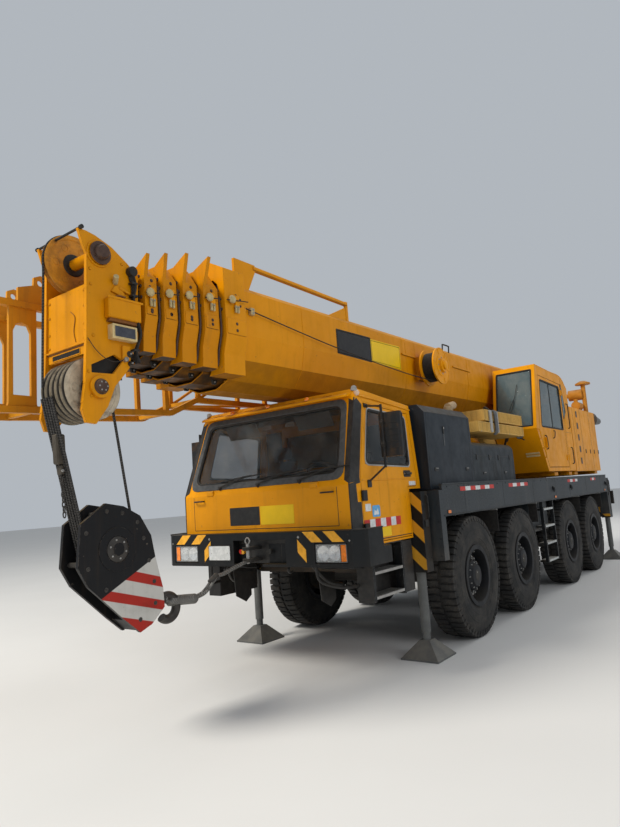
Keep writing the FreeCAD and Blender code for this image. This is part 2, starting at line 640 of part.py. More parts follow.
# ---------------------------------------------------------------- boom
def boom_outline(k, skin):
    """closed outline y z of boom section k, taken in by skin"""
    cz = BOOM_TOP - 500
    ky = (450.0 - BOOM_STEP * k - skin) / 450.0
    kt = (500.0 - BOOM_STEP * k - skin) / 500.0
    kb = (460.0 - BOOM_STEP * k - skin) / 460.0
    half = []
    for y, dz in BOOM_HALF:
        z = BOOM_TOP - dz
        f = kt if z > cz else kb
        half.append((y * ky, cz + (z - cz) * f))
    return half + [(-y, z) for y, z in reversed(half)]


def boom_tube(k, x0, x1, skin=BOOM_SKIN):
    return poly_x(boom_outline(k, 0), x0, x1).cut(poly_x(boom_outline(k, skin), x0 - 10, x1 + 10))


def collar(k, x0, x1, rise, depth, bulge, ear):
    """front collar of section k: bulged sides, open underneath, pointed ears at its front top corners"""
    hw = 450.0 - BOOM_STEP * k
    t = BOOM_TOP
    if ear:
        rt = t + min(rise - 84, 26)
        o = [(0, rt), (hw * 0.90, rt), (hw + bulge, t - 130)]
    else:
        o = [(0, t + rise - 70), (hw * 0.55, t + rise - 70), (hw * 0.80, t + rise), (hw + bulge, t + rise - 90)]
    o += [(hw + bulge, t - depth * 0.62), (hw + bulge * 0.35, t - depth * 0.80), (hw + bulge * 0.2, t - depth),
          (hw * 0.55, t - depth)]
    pts = [(y, z) for y, z in o] + [(-y, z) for y, z in reversed(o[1:])]
    s = poly_x(pts, x0, x1)
    if ear:
        for m in (1, -1):
            s = s.fuse(poly_x([(m * hw * 0.78, rt - 60), (m * hw * 0.88, rt), (m * ear, t + rise),
                               (m * (hw + bulge - 4), t - 150), (m * hw, t - 200)], x1 - EAR_T, x1))
    return s.cut(poly_x(boom_outline(k, BOOM_SKIN), x0 - 10, x1 + 10))


def boom():
    base = boom_tube(0, BOOM_REAR, COLLARS[0][1] + 40)
    parts = [base, collar(*COLLARS[0])]
    # foot pins, on doubler plates
    for s in (1, -1):
        parts.append(cyl_y(PIVOT[0], PIVOT[1], 90, *sorted((s * 420, s * 560))))
        parts.append(cyl_y(PIVOT[0], PIVOT[1], 190, *sorted((s * 405, s * 462))))
    # luffing cylinder's bracket: two ears that hang below the boom, open towards the front
    px, pz = LUFF_PIN
    a = radians(BOOM_TIP_DEG)
    dx, dz = px - PIVOT[0], pz - PIVOT[1]
    qx = PIVOT[0] + dx * cos(a) - dz * sin(a)
    qz = PIVOT[1] + dx * sin(a) + dz * cos(a)
    for y0, y1 in sym(150, 195):
        ear = poly_y([(qx - 420, qz + 262), (qx - 110, qz - 60), (qx + 110, qz - 60), (qx + 420, qz + 262)], y0, y1)
        ear = ear.cut(cyl_y(qx, qz, 62, -300, 300))
        parts.append(ear)
    parts.append(reel_post())
    parts += stay_bar()
    s = fuse(parts)
    # clear the inside again, where doublers and ears reach in
    s = s.cut(poly_x(boom_outline(0, BOOM_SKIN), BOOM_REAR - 10, 900))
    put("boom_base", tip(s))
    for k, x0, x1, rise, depth, bulge, ear in COLLARS[1:]:
        t = boom_tube(k, -9150 + 110 * k, x0 + 30)
        put("boom_section_%d" % k, tip(fuse([t, collar(k, x0, x1, rise, depth, bulge, ear)])))
    put("boom_section_5", tip(boom_tube(5, -9150 + 550, 1800)))
    # head: two side plates, front plate, bottom plate and ties to the innermost section
    parts = []
    side = cut_out(HEAD_SIDE, HEAD_HOLE)
    for y0, y1 in sym(262, 290):
        plate = poly_y(side[0], y0, y1)
        parts.append(plate.cut(poly_y(side[1], y0 - 5, y1 + 5)))
    for pts in (HEAD_FRONT, HEAD_TOP, HEAD_FLOOR):
        parts.append(poly_y([untip(x, z) for x, z in pts], -263, 263))
    head = fuse(parts)
    # the innermost section passes through
    head = head.cut(poly_x(boom_outline(5, -1.0), 1500, 1801))
    ties = []
    for y0, y1 in sym(250.2, 263):
        ties.append(poly_y([(1680, 3200), (1680, 3690), (1790, 3690), (1790, 3200)], y0, y1))
    head = fuse([head] + ties)
    # axles of the sheaves, with a boss on the left plate
    tx, tzz = untip(*SHEAVE_TOP)
    lx, lz = untip(*SHEAVE_LOW)
    head = head.fuse([cyl_y(tx, tzz, 45, -315, 315), cyl_y(lx, lz, 45, -325, 325),
                      cyl_y(tx, tzz, 85, 288, 318), cyl_y(lx, lz, 85, 288, 318)])
    put("boom_head", tip(head.removeSplitter()))
    put("top_sheave", sheave(SHEAVE_TOP, 250, [(-95, -47)]))
    put("lower_sheaves", sheave(SHEAVE_LOW, 240, [(m - 24, m + 24) for m in LOW_SHEAVES]))


# sheave head in its stowed place, x z: side plate, its opening, front plate, top tie, floor
HEAD_SIDE = [(2184, 3838), (2110, 3834), (2035, 3820), (1894, 3768), (1748, 3672), (1644, 3584), (1653, 3342),
             (1667, 3004), (1775, 2917), (1752, 2815), (1780, 2777), (1890, 2651), (1959, 2489), (2062, 2352),
             (2146, 2358), (2179, 2451), (2148, 2646), (2131, 2975), (2121, 3378), (2115, 3652), (2150, 3734)]
HEAD_HOLE = [(2095, 2795), (1890, 2900), (1812, 2860), (1905, 2745), (2095, 2735)]
HEAD_FRONT = [(2088, 2885), (2116, 2885), (2108, 3425), (2080, 3425)]
HEAD_TOP = [(1655, 3560), (1655, 3587), (1740, 3660), (1740, 3633)]
HEAD_FLOOR = [(1668, 2950), (2110, 2944), (2110, 2972), (1668, 2978)]
LOW_SHEAVES = (-70.0, -5.0, 60.0, 125.0, 190.0)      # middle planes


def cut_out(outer, inner):
    """outline and opening given as stowed, turned back to the boom's drawing line"""
    return [untip(x, z) for x, z in outer], [untip(x, z) for x, z in inner]


def untip(x, z):
    a = radians(BOOM_TIP_DEG)
    dx, dz = x - PIVOT[0], z - PIVOT[1]
    return PIVOT[0] + dx * cos(a) - dz * sin(a), PIVOT[1] + dx * sin(a) + dz * cos(a)


def sheave(c, r, spans):
    x, z = c
    parts = [cyl_y(x, z, 80, spans[0][0] - 8, spans[-1][1] + 8)]
    for y0, y1 in spans:
        m = 0.5 * (y0 + y1)
        parts.append(ring_y([(y0, 70), (y0, r), (m - 8, r - 32), (m + 8, r - 32), (y1, r), (y1, 70)], x, z))
    s = fuse(parts)
    return s.cut(cyl_y(x, z, 45.5, -400, 400))


# ---------------------------------------------------------------- luffing cylinder
def luff():
    (x0, z0), (x1, z1) = LUFF_BASE, LUFF_PIN
    a = atan2(z1 - z0, x1 - x0)
    L = sqrt((x1 - x0) ** 2 + (z1 - z0) ** 2)

    def along(s):
        s.rotate(V(x0, 0, z0), V(0, 1, 0), -degrees(a))
        return s
    eye = cyl_y(x0, z0, 130, -140, 140)
    tube = cyl_x(0, z0, 120, x0 + 60, x0 + 300).fuse(cyl_x(0, z0, 165, x0 + 280, x0 + 4250))
    gland = cyl_x(0, z0, 180, x0 + 4180, x0 + 4290)
    b = fuse([eye, tube, gland])
    b = b.cut(cyl_x(0, z0, 121, x0 + 340, x0 + 4300)).cut(cyl_y(x0, z0, 60.5, -200, 200))
    put("luff_barrel", along(b))
    r = cyl_x(0, z0, 115, x0 + 600, x0 + L - 60)
    e = cyl_y(x0 + L, z0, 120, -135, 135)
    r = fuse([r, e]).cut(cyl_y(x0 + L, z0, 60, -200, 200))
    put("luff_rod", along(r))


# ---------------------------------------------------------------- jib, reel, hook
JIB_Y = (-640.0, -1090.0)                             # middle planes of the folded jib's two sides
JIB_END = 2348.7
# its end plate as stowed, x z, with the arched opening, and the lug on top
JIB_PLATE = [(1985, 2560), (2262, 2555), (2246, 2640), (2240, 3440), (2250, 3490), (1985, 3476), (2003, 3440), (2006, 2640)]
JIB_ARCH = [(2053, 2702), (2207, 2702), (2207, 3240), (2180, 3300), (2130, 3320), (2080, 3300), (2053, 3240)]
JIB_LUG = [(2162, 3495), (2162, 3622), (2024, 3668), (2020, 3740), (1962, 3768), (1904, 3760), (1900, 3482)]


def jib():
    """folded lattice jib stowed along the boom's right side: a list of bars that meet face to face"""
    out = []
    c = 28.0
    top, low, low_f, low_e = 3634.0, 2960.0, 2800.0, 2736.0
    k = (low_f - low_e) / (JIB_END - 565.0)
    xt = 1880.0                                       # where the end frame starts

    def zc(x):
        return low_f - (x - 565.0) * k
    for y in JIB_Y:
        out.append(box(-6400, xt, y - c, y + c, top - c, top + c))
        out.append(box(-6400, 200, y - c, y + c, low - c, low + c))
        out.append(poly_y([(200, low - c), (200, low + c), (570, zc(570) + c), (560, zc(560) - c)], y - c, y + c))
        out.append(poly_y([(560, zc(560) - c), (570, zc(570) + c), (xt, zc(xt) + c), (xt, zc(xt) - c)], y - c, y + c))
        for x in range(-6400, 160, 1092):
            out.append(box(x, x + 46, y - 22, y + 22, low + c, top - c))
        for x in (600, 1300):
            out.append(poly_y([(x, zc(x) + c), (x + 46, zc(x + 46) + c), (x + 46, top - c), (x, top - c)], y - 22, y + 22))
        # end frame: plate with its arch, the lug on top and the chord ends
        plate, arch = cut_out(JIB_PLATE, JIB_ARCH)
        parts = [poly_y(plate, y - 16, y + 16).cut(poly_y(arch, y - 30, y + 30)),
                 box(xt, JIB_END, y - c, y + c, top - c, top + c),
                 poly_y([(xt, zc(xt) - c), (xt, zc(xt) + c), (JIB_END, zc(JIB_END) + c), (JIB_END, zc(JIB_END) - c)],
                        y - c, y + c)]
        lug = poly_y([untip(x, z) for x, z in JIB_LUG], y - 14, y + 14)
        hx, hz = untip(1962, 3700)
        parts.append(lug.cut(cyl_y(hx, hz, 28, y - 30, y + 30)))
        out.append(fuse(parts))
    y0, y1 = JIB_Y[1] + c, JIB_Y[0] - c
    for x in range(-6400, 160, 1092):
        for z in (low, top):
            out.append(box(x, x + 46, y0, y1, z - 20, z + 20))
    for x in (600, 1300, 1996):
        for z in (zc(x), top):
            out.append(box(x, x + 46, y0, y1, z - 20, z + 20))
    # brackets to the boom
    for x in (-5200, -800):
        out.append(box(x, x + 160, JIB_Y[0] + c, -451, 3590, 3660))
    return [tip(o) for o in out]


def reel():
    c = untip(-3000, 3360)
    s = cyl_y(c[0], c[1], 150, 580, 760)
    for y0, y1 in ((566, 584), (756, 774)):
        s = s.fuse(cyl_y(c[0], c[1], 250, y0, y1))
    s = s.fuse(cyl_y(c[0], c[1], 60, 540, 800))
    return tip(s.removeSplitter())


def reel_post():
    """bracket that carries the cable reel on the boom's left side"""
    c = untip(-3000, 3360)
    s = box(c[0] - 120, c[0] + 120, 440, 500, c[1] - 160, c[1] + 160)
    return s.fuse(cyl_y(c[0], c[1], 45, 495, 538))


STAY = [(360.0, 3962.0), (-1290.0, 3949.0)]           # ends of the bar above the boom, x z


def stay_bar():
    """round bar above the boom's front end, on a lug behind the collar and a post"""
    (xa, za), (xb, zb) = untip(*STAY[0]), untip(*STAY[1])
    bar = rod(V(xa, 400, za), V(xb, 400, zb), 27)
    lug = poly_y([(614, BOOM_TOP - 30), (614, za + 40), (xa - 30, za + 34), (xa - 30, za - 34), (xa + 90, BOOM_TOP - 30)],
                 386, 414)
    post = poly_y([(xb + 24, BOOM_TOP - 20), (xb + 24, zb + 30), (xb - 20, zb + 30), (xb - 20, BOOM_TOP - 20)], 386, 414)
    fin = poly_y([(xb + 20, BOOM_TOP - 20), (xb + 20, zb - 40), (xb + 420, BOOM_TOP - 20)], 392, 408)
    return [bar, lug, post, fin]


HOOK_SIDE = [(2102, 1629), (1888, 1771), (1725, 1741), (1572, 1659), (1470, 1496), (1429, 1293), (1368, 1068),
             (1358, 916), (1491, 804), (1603, 763), (1745, 885), (2051, 1170), (2132, 1313)]
BLOCK_SHEAVE = (1791.0, 1418.0, 200.0)
HOOK_C = (1230.0, 880.0)                            # centre of the hook's bowl
HOOK_DIR = (-0.829, -0.559)                           # the block's pull line, down and towards the bumper


def hook_block():
    parts = []
    for y0, y1 in sym(95, 125):
        parts.append(poly_y(HOOK_SIDE, y0, y1))
    x, z, r = BLOCK_SHEAVE
    for y0, y1 in ((-88, -46), (-21, 21), (46, 88)):
        parts.append(cyl_y(x, z, r, y0, y1))
    parts.append(cyl_y(x, z, 50, -142, 142))
    parts.append(poly_y([(1440, 1110), (1372, 1050), (1362, 920), (1490, 812), (1600, 775), (1700, 870), (1640, 1010),
                         (1540, 1100)], -97, 97))
    parts.append(poly_y([(1690, 1040), (1790, 1140), (1850, 1090), (1750, 980)], -97, 97))
    parts.append(poly_y([(1740, 1700), (1830, 1715), (1830, 1680), (1740, 1665)], -97, 97))
    s = fuse(parts)
    # bore for the hook's shank
    x, z = HOOK_C
    ux, uz = HOOK_DIR
    s = s.cut(Part.makeCylinder(66, 262, V(x, 0, z), V(-ux, 0, -uz)))
    return s.cut(Part.makeSphere(141, V(x, 0, z)))


def hoist_ropes():
    """falls of the hoist rope between the lower head sheaves and the block's sheaves"""
    (x0, z0), r0 = SHEAVE_LOW, 240.0 + 14
    x1, z1, r1 = BLOCK_SHEAVE[0], BLOCK_SHEAVE[1], BLOCK_SHEAVE[2] + 14
    d = sqrt((x1 - x0) ** 2 + (z1 - z0) ** 2)
    a = atan2(z1 - z0, x1 - x0)
    out = []
    for side, ys in ((1, (-70.0, -36.0, -5.0, 30.0, 60.0)), (-1, (60.0,))):
        b = a + side * acos((r0 - r1) / d)
        p = V(x0 + r0 * cos(b), 0, z0 + r0 * sin(b))
        q = V(x1 + r1 * cos(b), 0, z1 + r1 * sin(b))
        for y in ys:
            out.append(rod(V(p.x, y, p.z), V(q.x, y, q.z), 11))
    return out


def hook():
    """forged hook below the block: shank, bowl open at one side, nose"""
    x, z = HOOK_C
    ux, uz = HOOK_DIR
    # drawn hanging straight down, then turned into the block's pull line
    ring = Part.makeTorus(95, 38, V(0, 0, 0), V(0, 1, 0))
    gap = poly_y([(0, 0), (200, 30), (200, 260), (10, 260)], -80, 80)
    ring = ring.cut(gap)
    shank = cyl_z(0, 0, 42, 80, 225)
    neck = cyl_z(0, 0, 60, 215, 250)
    s = fuse([ring, shank, neck])
    ang = degrees(atan2(ux, -uz))
    s.rotate(V(0, 0, 0), V(0, 1, 0), -ang)
    s.translate(V(x, 0, z))
    return s


# ---------------------------------------------------------------- assemble
put("chassis_frame", chassis())
put("deck", deck())
for name, s, bx, cx, jy, hx, hy in OUTRIGGERS:
    put("outrigger_beam_" + name, outrigger_beam(s, bx, cx, jy, hx, hy))
    put("jack_" + name, jack(s, cx, jy))
put("axles", [axle(x, st) for x, st in zip(AXLE_X, STEERED)])
for i, x in enumerate(AXLE_X):
    for side, s in (("left", 1), ("right", -1)):
        if STEERED[i]:
            put("knuckle_%d_%s" % (i + 1, side), knuckle(x, s))
        put("wheel_%d_%s" % (i + 1, side), wheel(x, s))
cab()
put("front_bumper", bumper())
put("lamps", lamps())
put("ladders", ladders())
put("engine_hood", hood())
put("carrier_engine", engine())
put("toolboxes", toolbox())
put("turntable", turntable())
put("house", house())
put("intake_and_muffler", stack())
crane_cab()
put("oil_coolers", cooler())
put("winch_drum", winch())
boom()
luff()
put("jib", jib())
put("cable_reel", reel())
put("hook_block", hook_block())
put("hoist_ropes", hoist_ropes())
put("hook", hook())

os.makedirs("parts", exist_ok=True)
lo = [1e9] * 3
hi = [-1e9] * 3
for name, shape in OUT.items():
    shape.translate(V(SHIFT_X, 0, 0))
    bb = shape.BoundBox
    lo = [min(a, b) for a, b in zip(lo, (bb.XMin, bb.YMin, bb.ZMin))]
    hi = [max(a, b) for a, b in zip(hi, (bb.XMax, bb.YMax, bb.ZMax))]
    n = len(shape.Solids)
    print("%-28s solids %d valid %s vol %.4f m3  x %.0f..%.0f y %.0f..%.0f z %.0f..%.0f" % (
        name, n, shape.isValid(), shape.Volume / 1e9, bb.XMin, bb.XMax, bb.YMin, bb.YMax, bb.ZMin, bb.ZMax))
    shape.exportStep("parts/" + name + ".step")
print("nodes", len(OUT), "low", [round(v, 2) for v in lo], "high", [round(v, 2) for v in hi])
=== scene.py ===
import random
from math import sin, cos, pi, radians, sqrt, atan2

import bpy
import bmesh
from mathutils import Vector, Matrix


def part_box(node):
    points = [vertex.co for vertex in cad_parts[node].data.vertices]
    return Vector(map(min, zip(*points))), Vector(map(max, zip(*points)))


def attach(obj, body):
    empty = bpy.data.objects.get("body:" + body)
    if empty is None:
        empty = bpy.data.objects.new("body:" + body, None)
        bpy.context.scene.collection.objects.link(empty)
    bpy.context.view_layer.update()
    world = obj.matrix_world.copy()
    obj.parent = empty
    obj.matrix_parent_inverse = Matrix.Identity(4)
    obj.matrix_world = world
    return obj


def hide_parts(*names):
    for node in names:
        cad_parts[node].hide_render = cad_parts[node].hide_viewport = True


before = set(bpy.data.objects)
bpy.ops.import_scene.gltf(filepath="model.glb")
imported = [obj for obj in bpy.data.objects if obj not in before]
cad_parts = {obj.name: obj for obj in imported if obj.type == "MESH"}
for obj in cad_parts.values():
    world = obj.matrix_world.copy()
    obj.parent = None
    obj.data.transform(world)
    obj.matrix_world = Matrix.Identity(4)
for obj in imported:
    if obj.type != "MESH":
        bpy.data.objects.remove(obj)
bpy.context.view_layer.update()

# Working numbers are millimetres in the carrier's own coordinates: x = 0 at the cab's front face,
# +x forward, +y left, z = 0 on the ground. C() gives the row's metres, B() first tips a point that
# was drawn on a level boom nose down with it.
SHIFT = 4008.0
PIVOT = (-9300.0, 3200.0)
TIP = radians(0.8)


def C(x, y, z):
    return ((x + SHIFT) / 1000.0, y / 1000.0, z / 1000.0)


def tip_pt(x, y, z):
    dx, dz = x - PIVOT[0], z - PIVOT[1]
    return (PIVOT[0] + dx * cos(TIP) + dz * sin(TIP), y, PIVOT[1] - dx * sin(TIP) + dz * cos(TIP))


# ------------------------------------------------------------------------------------- materials
class G:
    """one node material, written as short calls"""

    def __init__(self, name):
        self.m = bpy.data.materials.new(name)
        self.m.use_nodes = True
        self.t = self.m.node_tree
        self.t.nodes.clear()
        self.out = self.t.nodes.new("ShaderNodeOutputMaterial")
        self.b = self.t.nodes.new("ShaderNodeBsdfPrincipled")
        self.t.links.new(self.b.outputs[0], self.out.inputs[0])
        self.tc = self.t.nodes.new("ShaderNodeTexCoord").outputs["Object"]
        self.geo = self.t.nodes.new("ShaderNodeNewGeometry")
        self._sep = None

    def node(self, kind, **kw):
        n = self.t.nodes.new(kind)
        for k, v in kw.items():
            setattr(n, k, v)
        return n

    def put(self, sock, v):
        if isinstance(v, bpy.types.NodeSocket):
            self.t.links.new(v, sock)
        elif isinstance(v, (tuple, list)) and len(v) == 3 and sock.type == "RGBA":
            sock.default_value = (v[0], v[1], v[2], 1.0)
        else:
            sock.default_value = v

    def math(self, op, a, b=None, clamp=False):
        n = self.node("ShaderNodeMath", operation=op, use_clamp=clamp)
        self.put(n.inputs[0], a)
        if b is not None:
            self.put(n.inputs[1], b)
        return n.outputs[0]

    def mix(self, f, a, b, mode="MIX"):
        n = self.node("ShaderNodeMix", data_type="RGBA", blend_type=mode)
        self.put(n.inputs[0], f)
        self.put(n.inputs[6], a)
        self.put(n.inputs[7], b)
        return n.outputs[2]

    def step(self, v, lo, hi, a=0.0, b=1.0):
        n = self.node("ShaderNodeMapRange", interpolation_type="SMOOTHSTEP", clamp=True)
        self.put(n.inputs[0], v)
        for i, x in enumerate((lo, hi, a, b)):
            n.inputs[i + 1].default_value = x
        return n.outputs[0]

    def scaled(self, sx, sy, sz):
        n = self.node("ShaderNodeMapping")
        self.put(n.inputs[0], self.tc)
        n.inputs[3].default_value = (sx, sy, sz)
        return n.outputs[0]

    def noise(self, scale, detail=4.0, rough=0.55, vec=None, dist=0.0):
        n = self.node("ShaderNodeTexNoise")
        self.put(n.inputs["Vector"], self.tc if vec is None else vec)
        n.inputs["Scale"].default_value = scale
        n.inputs["Detail"].default_value = detail
        n.inputs["Roughness"].default_value = rough
        n.inputs["Distortion"].default_value = dist
        return n.outputs[0]

    def voronoi(self, scale, feature="F1", vec=None):
        n = self.node("ShaderNodeTexVoronoi", feature=feature)
        self.put(n.inputs["Vector"], self.tc if vec is None else vec)
        n.inputs["Scale"].default_value = scale
        return n.outputs[0]

    def pos(self):
        if self._sep is None:
            n = self.node("ShaderNodeSeparateXYZ")
            self.put(n.inputs[0], self.tc)
            self._sep = n.outputs
        return self._sep

    def up(self):
        n = self.node("ShaderNodeSeparateXYZ")
        self.put(n.inputs[0], self.geo.outputs["Normal"])
        return n.outputs[2]

    def edge(self, radius):
        """1 along sharp edges, 0 elsewhere, and the rounded normal"""
        bv = self.node("ShaderNodeBevel", samples=4)
        bv.inputs[0].default_value = radius
        d = self.node("ShaderNodeVectorMath", operation="DOT_PRODUCT")
        self.put(d.inputs[0], bv.outputs[0])
        self.put(d.inputs[1], self.geo.outputs["Normal"])
        e = self.math("SUBTRACT", 1.0, d.outputs["Value"])
        return e, bv.outputs[0]

    def bump(self, h, strength, dist=0.002, normal=None):
        n = self.node("ShaderNodeBump")
        n.inputs["Strength"].default_value = strength
        n.inputs["Distance"].default_value = dist
        self.put(n.inputs["Height"], h)
        if normal is not None:
            self.put(n.inputs["Normal"], normal)
        self.put(self.b.inputs["Normal"], n.outputs[0])

    def set(self, **kw):
        for k, v in kw.items():
            self.put(self.b.inputs[k.replace("_", " ")], v)


def bright(c, f):
    return tuple(max(0.0, min(1.0, v * f)) for v in c)


def paint(name, base, rough=0.42, var=0.10, dirt=0.35, streak=0.5, dust=0.25, chip=0.5, mud=0.0,
          dirtcol=(0.10, 0.065, 0.035), dustcol=(0.46, 0.31, 0.12), chipcol=(0.16, 0.085, 0.045),
          edge=0.006, extra=None, grease_and_shade=0.0, coat=0.0, peel=0.05):
    g = G(name)
    big = g.noise(0.9, 5.0, 0.6)
    mid = g.noise(7.0, 5.0, 0.6)
    fine = g.noise(46.0, 6.0, 0.65)
    col = g.mix(g.step(big, 0.32, 0.68), bright(base, 1.0 - var), bright(base, 1.0 + var))
    if extra is not None:
        col = extra(g, col)
    col = g.mix(g.math("MULTIPLY", g.step(mid, 0.48, 0.78), dirt * 0.55), col, bright(base, 0.55))
    up = g.up()
    side = g.math("SUBTRACT", 1.0, g.math("ABSOLUTE", up), clamp=True)
    # run-down streaks on upright faces
    st = g.noise(1.0, 5.0, 0.62, g.scaled(11.0, 11.0, 0.9))
    st = g.math("MULTIPLY", g.step(st, 0.50, 0.72), side)
    col = g.mix(g.math("MULTIPLY", st, streak * 0.55), col, dirtcol)
    # dust where it can lie
    du = g.math("MULTIPLY", g.step(up, 0.35, 0.95), g.step(mid, 0.25, 0.75, 0.45, 1.0))
    col = g.mix(g.math("MULTIPLY", du, dust), col, dustcol)
    # grease and painted shade: faces that point downwards are darkened to near black
    if grease_and_shade > 0.0:
        under_grease_shade_mask = g.math("MULTIPLY", g.step(up, -0.34, -0.62), g.step(mid, 0.25, 0.6, 0.75, 1.0))
        col = g.mix(g.math("MULTIPLY", under_grease_shade_mask, grease_and_shade), col, (0.014, 0.011, 0.009))
    if mud > 0.0:
        md = g.math("MULTIPLY", g.step(g.pos()[2], 1.35, 0.35), g.step(g.noise(3.2, 6.0, 0.65), 0.34, 0.66, 0.25, 1.0))
        col = g.mix(g.math("MULTIPLY", md, mud), col, (0.17, 0.135, 0.10))
    e, nrm = g.edge(edge)
    ch = g.math("MULTIPLY", g.step(e, 0.03, 0.16), g.step(fine, 0.50, 0.60))
    spots = g.math("MULTIPLY", g.step(g.noise(24.0, 3.0, 0.5), 0.70, 0.73), 0.7)
    ch = g.math("MAXIMUM", ch, spots)
    col = g.mix(g.math("MULTIPLY", ch, chip), col, chipcol)
    # painted highlight: the base colour made lighter along the soft edge
    col = g.mix(g.math("MULTIPLY", g.step(e, 0.01, 0.2), 0.12), col, bright(base, 1.5))
    r = g.step(mid, 0.2, 0.8, rough - 0.07, rough + 0.14)
    r = g.math("ADD", r, g.math("MULTIPLY", g.math("MAXIMUM", st, du), 0.16), clamp=True)
    r = g.math("ADD", r, g.math("MULTIPLY", ch, 0.2), clamp=True)
    g.set(Base_Color=col, Roughness=r)
    g.b.inputs["Specular IOR Level"].default_value = 0.22
    if coat > 0.0:
        g.b.inputs["Coat Weight"].default_value = coat
        g.b.inputs["Coat Roughness"].default_value = 0.25
    g.bump(g.math("SUBTRACT", g.math("MULTIPLY", fine, peel), g.math("MULTIPLY", ch, 0.3)), 0.35, 0.0015, nrm)
    return g.m


def plain(name, base, rough=0.5, metal=0.0, var=0.15, scale=18.0, dustf=0.2, bump=0.2, edge=0.004,
          dustcol=(0.40, 0.34, 0.26), wear=0.25, wearcol=None, emit=None, extra=None):
    g = G(name)
    a = g.noise(scale, 5.0, 0.6)
    f = g.noise(scale * 7.0, 5.0, 0.6)
    col = g.mix(g.step(a, 0.3, 0.7), bright(base, 1.0 - var), bright(base, 1.0 + var))
    if extra is not None:
        col = extra(g, col)
    up = g.step(g.up(), 0.2, 0.95)
    dd = g.math("MULTIPLY", g.math("ADD", g.math("MULTIPLY", up, 0.75), 0.25), g.step(a, 0.3, 0.7, 0.4, 1.0))
    col = g.mix(g.math("MULTIPLY", dd, dustf), col, dustcol)
    e, nrm = g.edge(edge)
    w = g.math("MULTIPLY", g.step(e, 0.03, 0.2), g.step(f, 0.42, 0.6))
    col = g.mix(g.math("MULTIPLY", w, wear), col, wearcol if wearcol else bright(base, 2.2))
    g.set(Base_Color=col, Roughness=g.step(f, 0.2, 0.8, rough - 0.08, rough + 0.12))
    g.b.inputs["Metallic"].default_value = metal
    g.b.inputs["Specular IOR Level"].default_value = 0.32
    g.bump(f, bump, 0.001, nrm)
    return g.m


YELLOW = (0.70, 0.275, 0.0)
SLATE = (0.016, 0.021, 0.025)
MAT = {}

def duct_extra(g, col):
    # the tapered duct behind the filter is bare grey steel
    return g.mix(g.step(g.pos()[0], -5.50, -5.56), col, (0.10, 0.105, 0.105))


def hood_extra(g, col):
    # the tail pipe above the hood is bare and pale from heat
    p = g.pos()
    on = g.math("MULTIPLY", g.step(p[2], 2.664, 2.670), g.step(p[1], 0.96, 0.97))
    return g.mix(on, col, (0.36, 0.25, 0.14))


MAT["yellow"] = paint("crane_yellow_paint", YELLOW, rough=0.38, dirt=0.25, streak=0.22, dust=0.30, chip=0.55)
# the boom and its sections are darkened on their down-facing faces: part grease, part painted shade
MAT["boom_yellow"] = paint("boom_yellow_paint", (0.64, 0.245, 0.0), rough=0.42, dirt=0.25, streak=0.22, dust=0.34,
                           chip=0.5, grease_and_shade=0.52)
MAT["section_yellow"] = paint("section_yellow_greasy_shaded_below", (0.54, 0.20, 0.0), rough=0.42, dirt=0.5, streak=0.4,
                              dust=0.3, chip=0.5, grease_and_shade=0.97)
MAT["jib_yellow"] = paint("jib_yellow_paint", (0.56, 0.23, 0.012), rough=0.45, dirt=0.5, streak=0.5, dust=0.3, chip=0.7)
MAT["slate"] = paint("slate_grey_paint", SLATE, rough=0.40, dirt=0.2, streak=0.35, dust=0.22, chip=0.35, mud=0.45,
                     dirtcol=(0.085, 0.075, 0.062), chipcol=(0.20, 0.19, 0.17))
MAT["hood"] = paint("hood_slate_paint", (0.013, 0.018, 0.024), rough=0.36, dirt=0.2, streak=0.25, dust=0.20, chip=0.25, extra=hood_extra,
                    dirtcol=(0.10, 0.095, 0.085), chipcol=(0.18, 0.17, 0.16))
MAT["black"] = paint("black_frame_paint", (0.008, 0.009, 0.010), rough=0.42, dirt=0.2, streak=0.2, dust=0.14, chip=0.3,
                     mud=0.18, dirtcol=(0.07, 0.06, 0.05), chipcol=(0.14, 0.12, 0.10))
MAT["under"] = paint("underframe_grime", (0.020, 0.019, 0.018), rough=0.62, dirt=0.6, streak=0.4, dust=0.45, chip=0.3,
                     mud=0.7, dirtcol=(0.09, 0.07, 0.05), dustcol=(0.20, 0.165, 0.125))
MAT["axle"] = plain("axle_grime", (0.028, 0.027, 0.025), rough=0.7, scale=9.0, dustf=0.6, dustcol=(0.17, 0.14, 0.105))
MAT["iron"] = plain("engine_iron", (0.10, 0.10, 0.10), rough=0.6, scale=9.0, dustf=0.4)
MAT["steel"] = plain("worn_steel", (0.40, 0.39, 0.37), rough=0.42, metal=0.75, scale=10.0, dustf=0.35,
                     dustcol=(0.25, 0.22, 0.18))
MAT["chrome"] = plain("ground_steel_rod", (0.58, 0.58, 0.57), rough=0.24, metal=0.9, scale=6.0, dustf=0.22,
                      dustcol=(0.28, 0.25, 0.2), bump=0.05)
MAT["padsteel"] = plain("pad_galvanised", (0.11, 0.115, 0.115), rough=0.55, metal=0.3, scale=7.0, dustf=0.45,
                        dustcol=(0.30, 0.25, 0.18), wear=0.6, wearcol=(0.42, 0.40, 0.37))
MAT["alu"] = plain("ladder_aluminium", (0.42, 0.43, 0.42), rough=0.5, metal=0.55, scale=14.0, dustf=0.4)
MAT["rubber"] = plain("black_rubber", (0.010, 0.010, 0.011), rough=0.62, scale=30.0, dustf=0.22)
MAT["seal"] = plain("weathered_grey_seal", (0.046, 0.053, 0.060), rough=0.55, scale=22.0, dustf=0.35)
MAT["blackpl"] = plain("black_plastic", (0.009, 0.010, 0.011), rough=0.42, scale=30.0, dustf=0.2)
MAT["dash"] = plain("dashboard_grey", (0.05, 0.05, 0.052), rough=0.6, scale=60.0, dustf=0.35, bump=0.35)
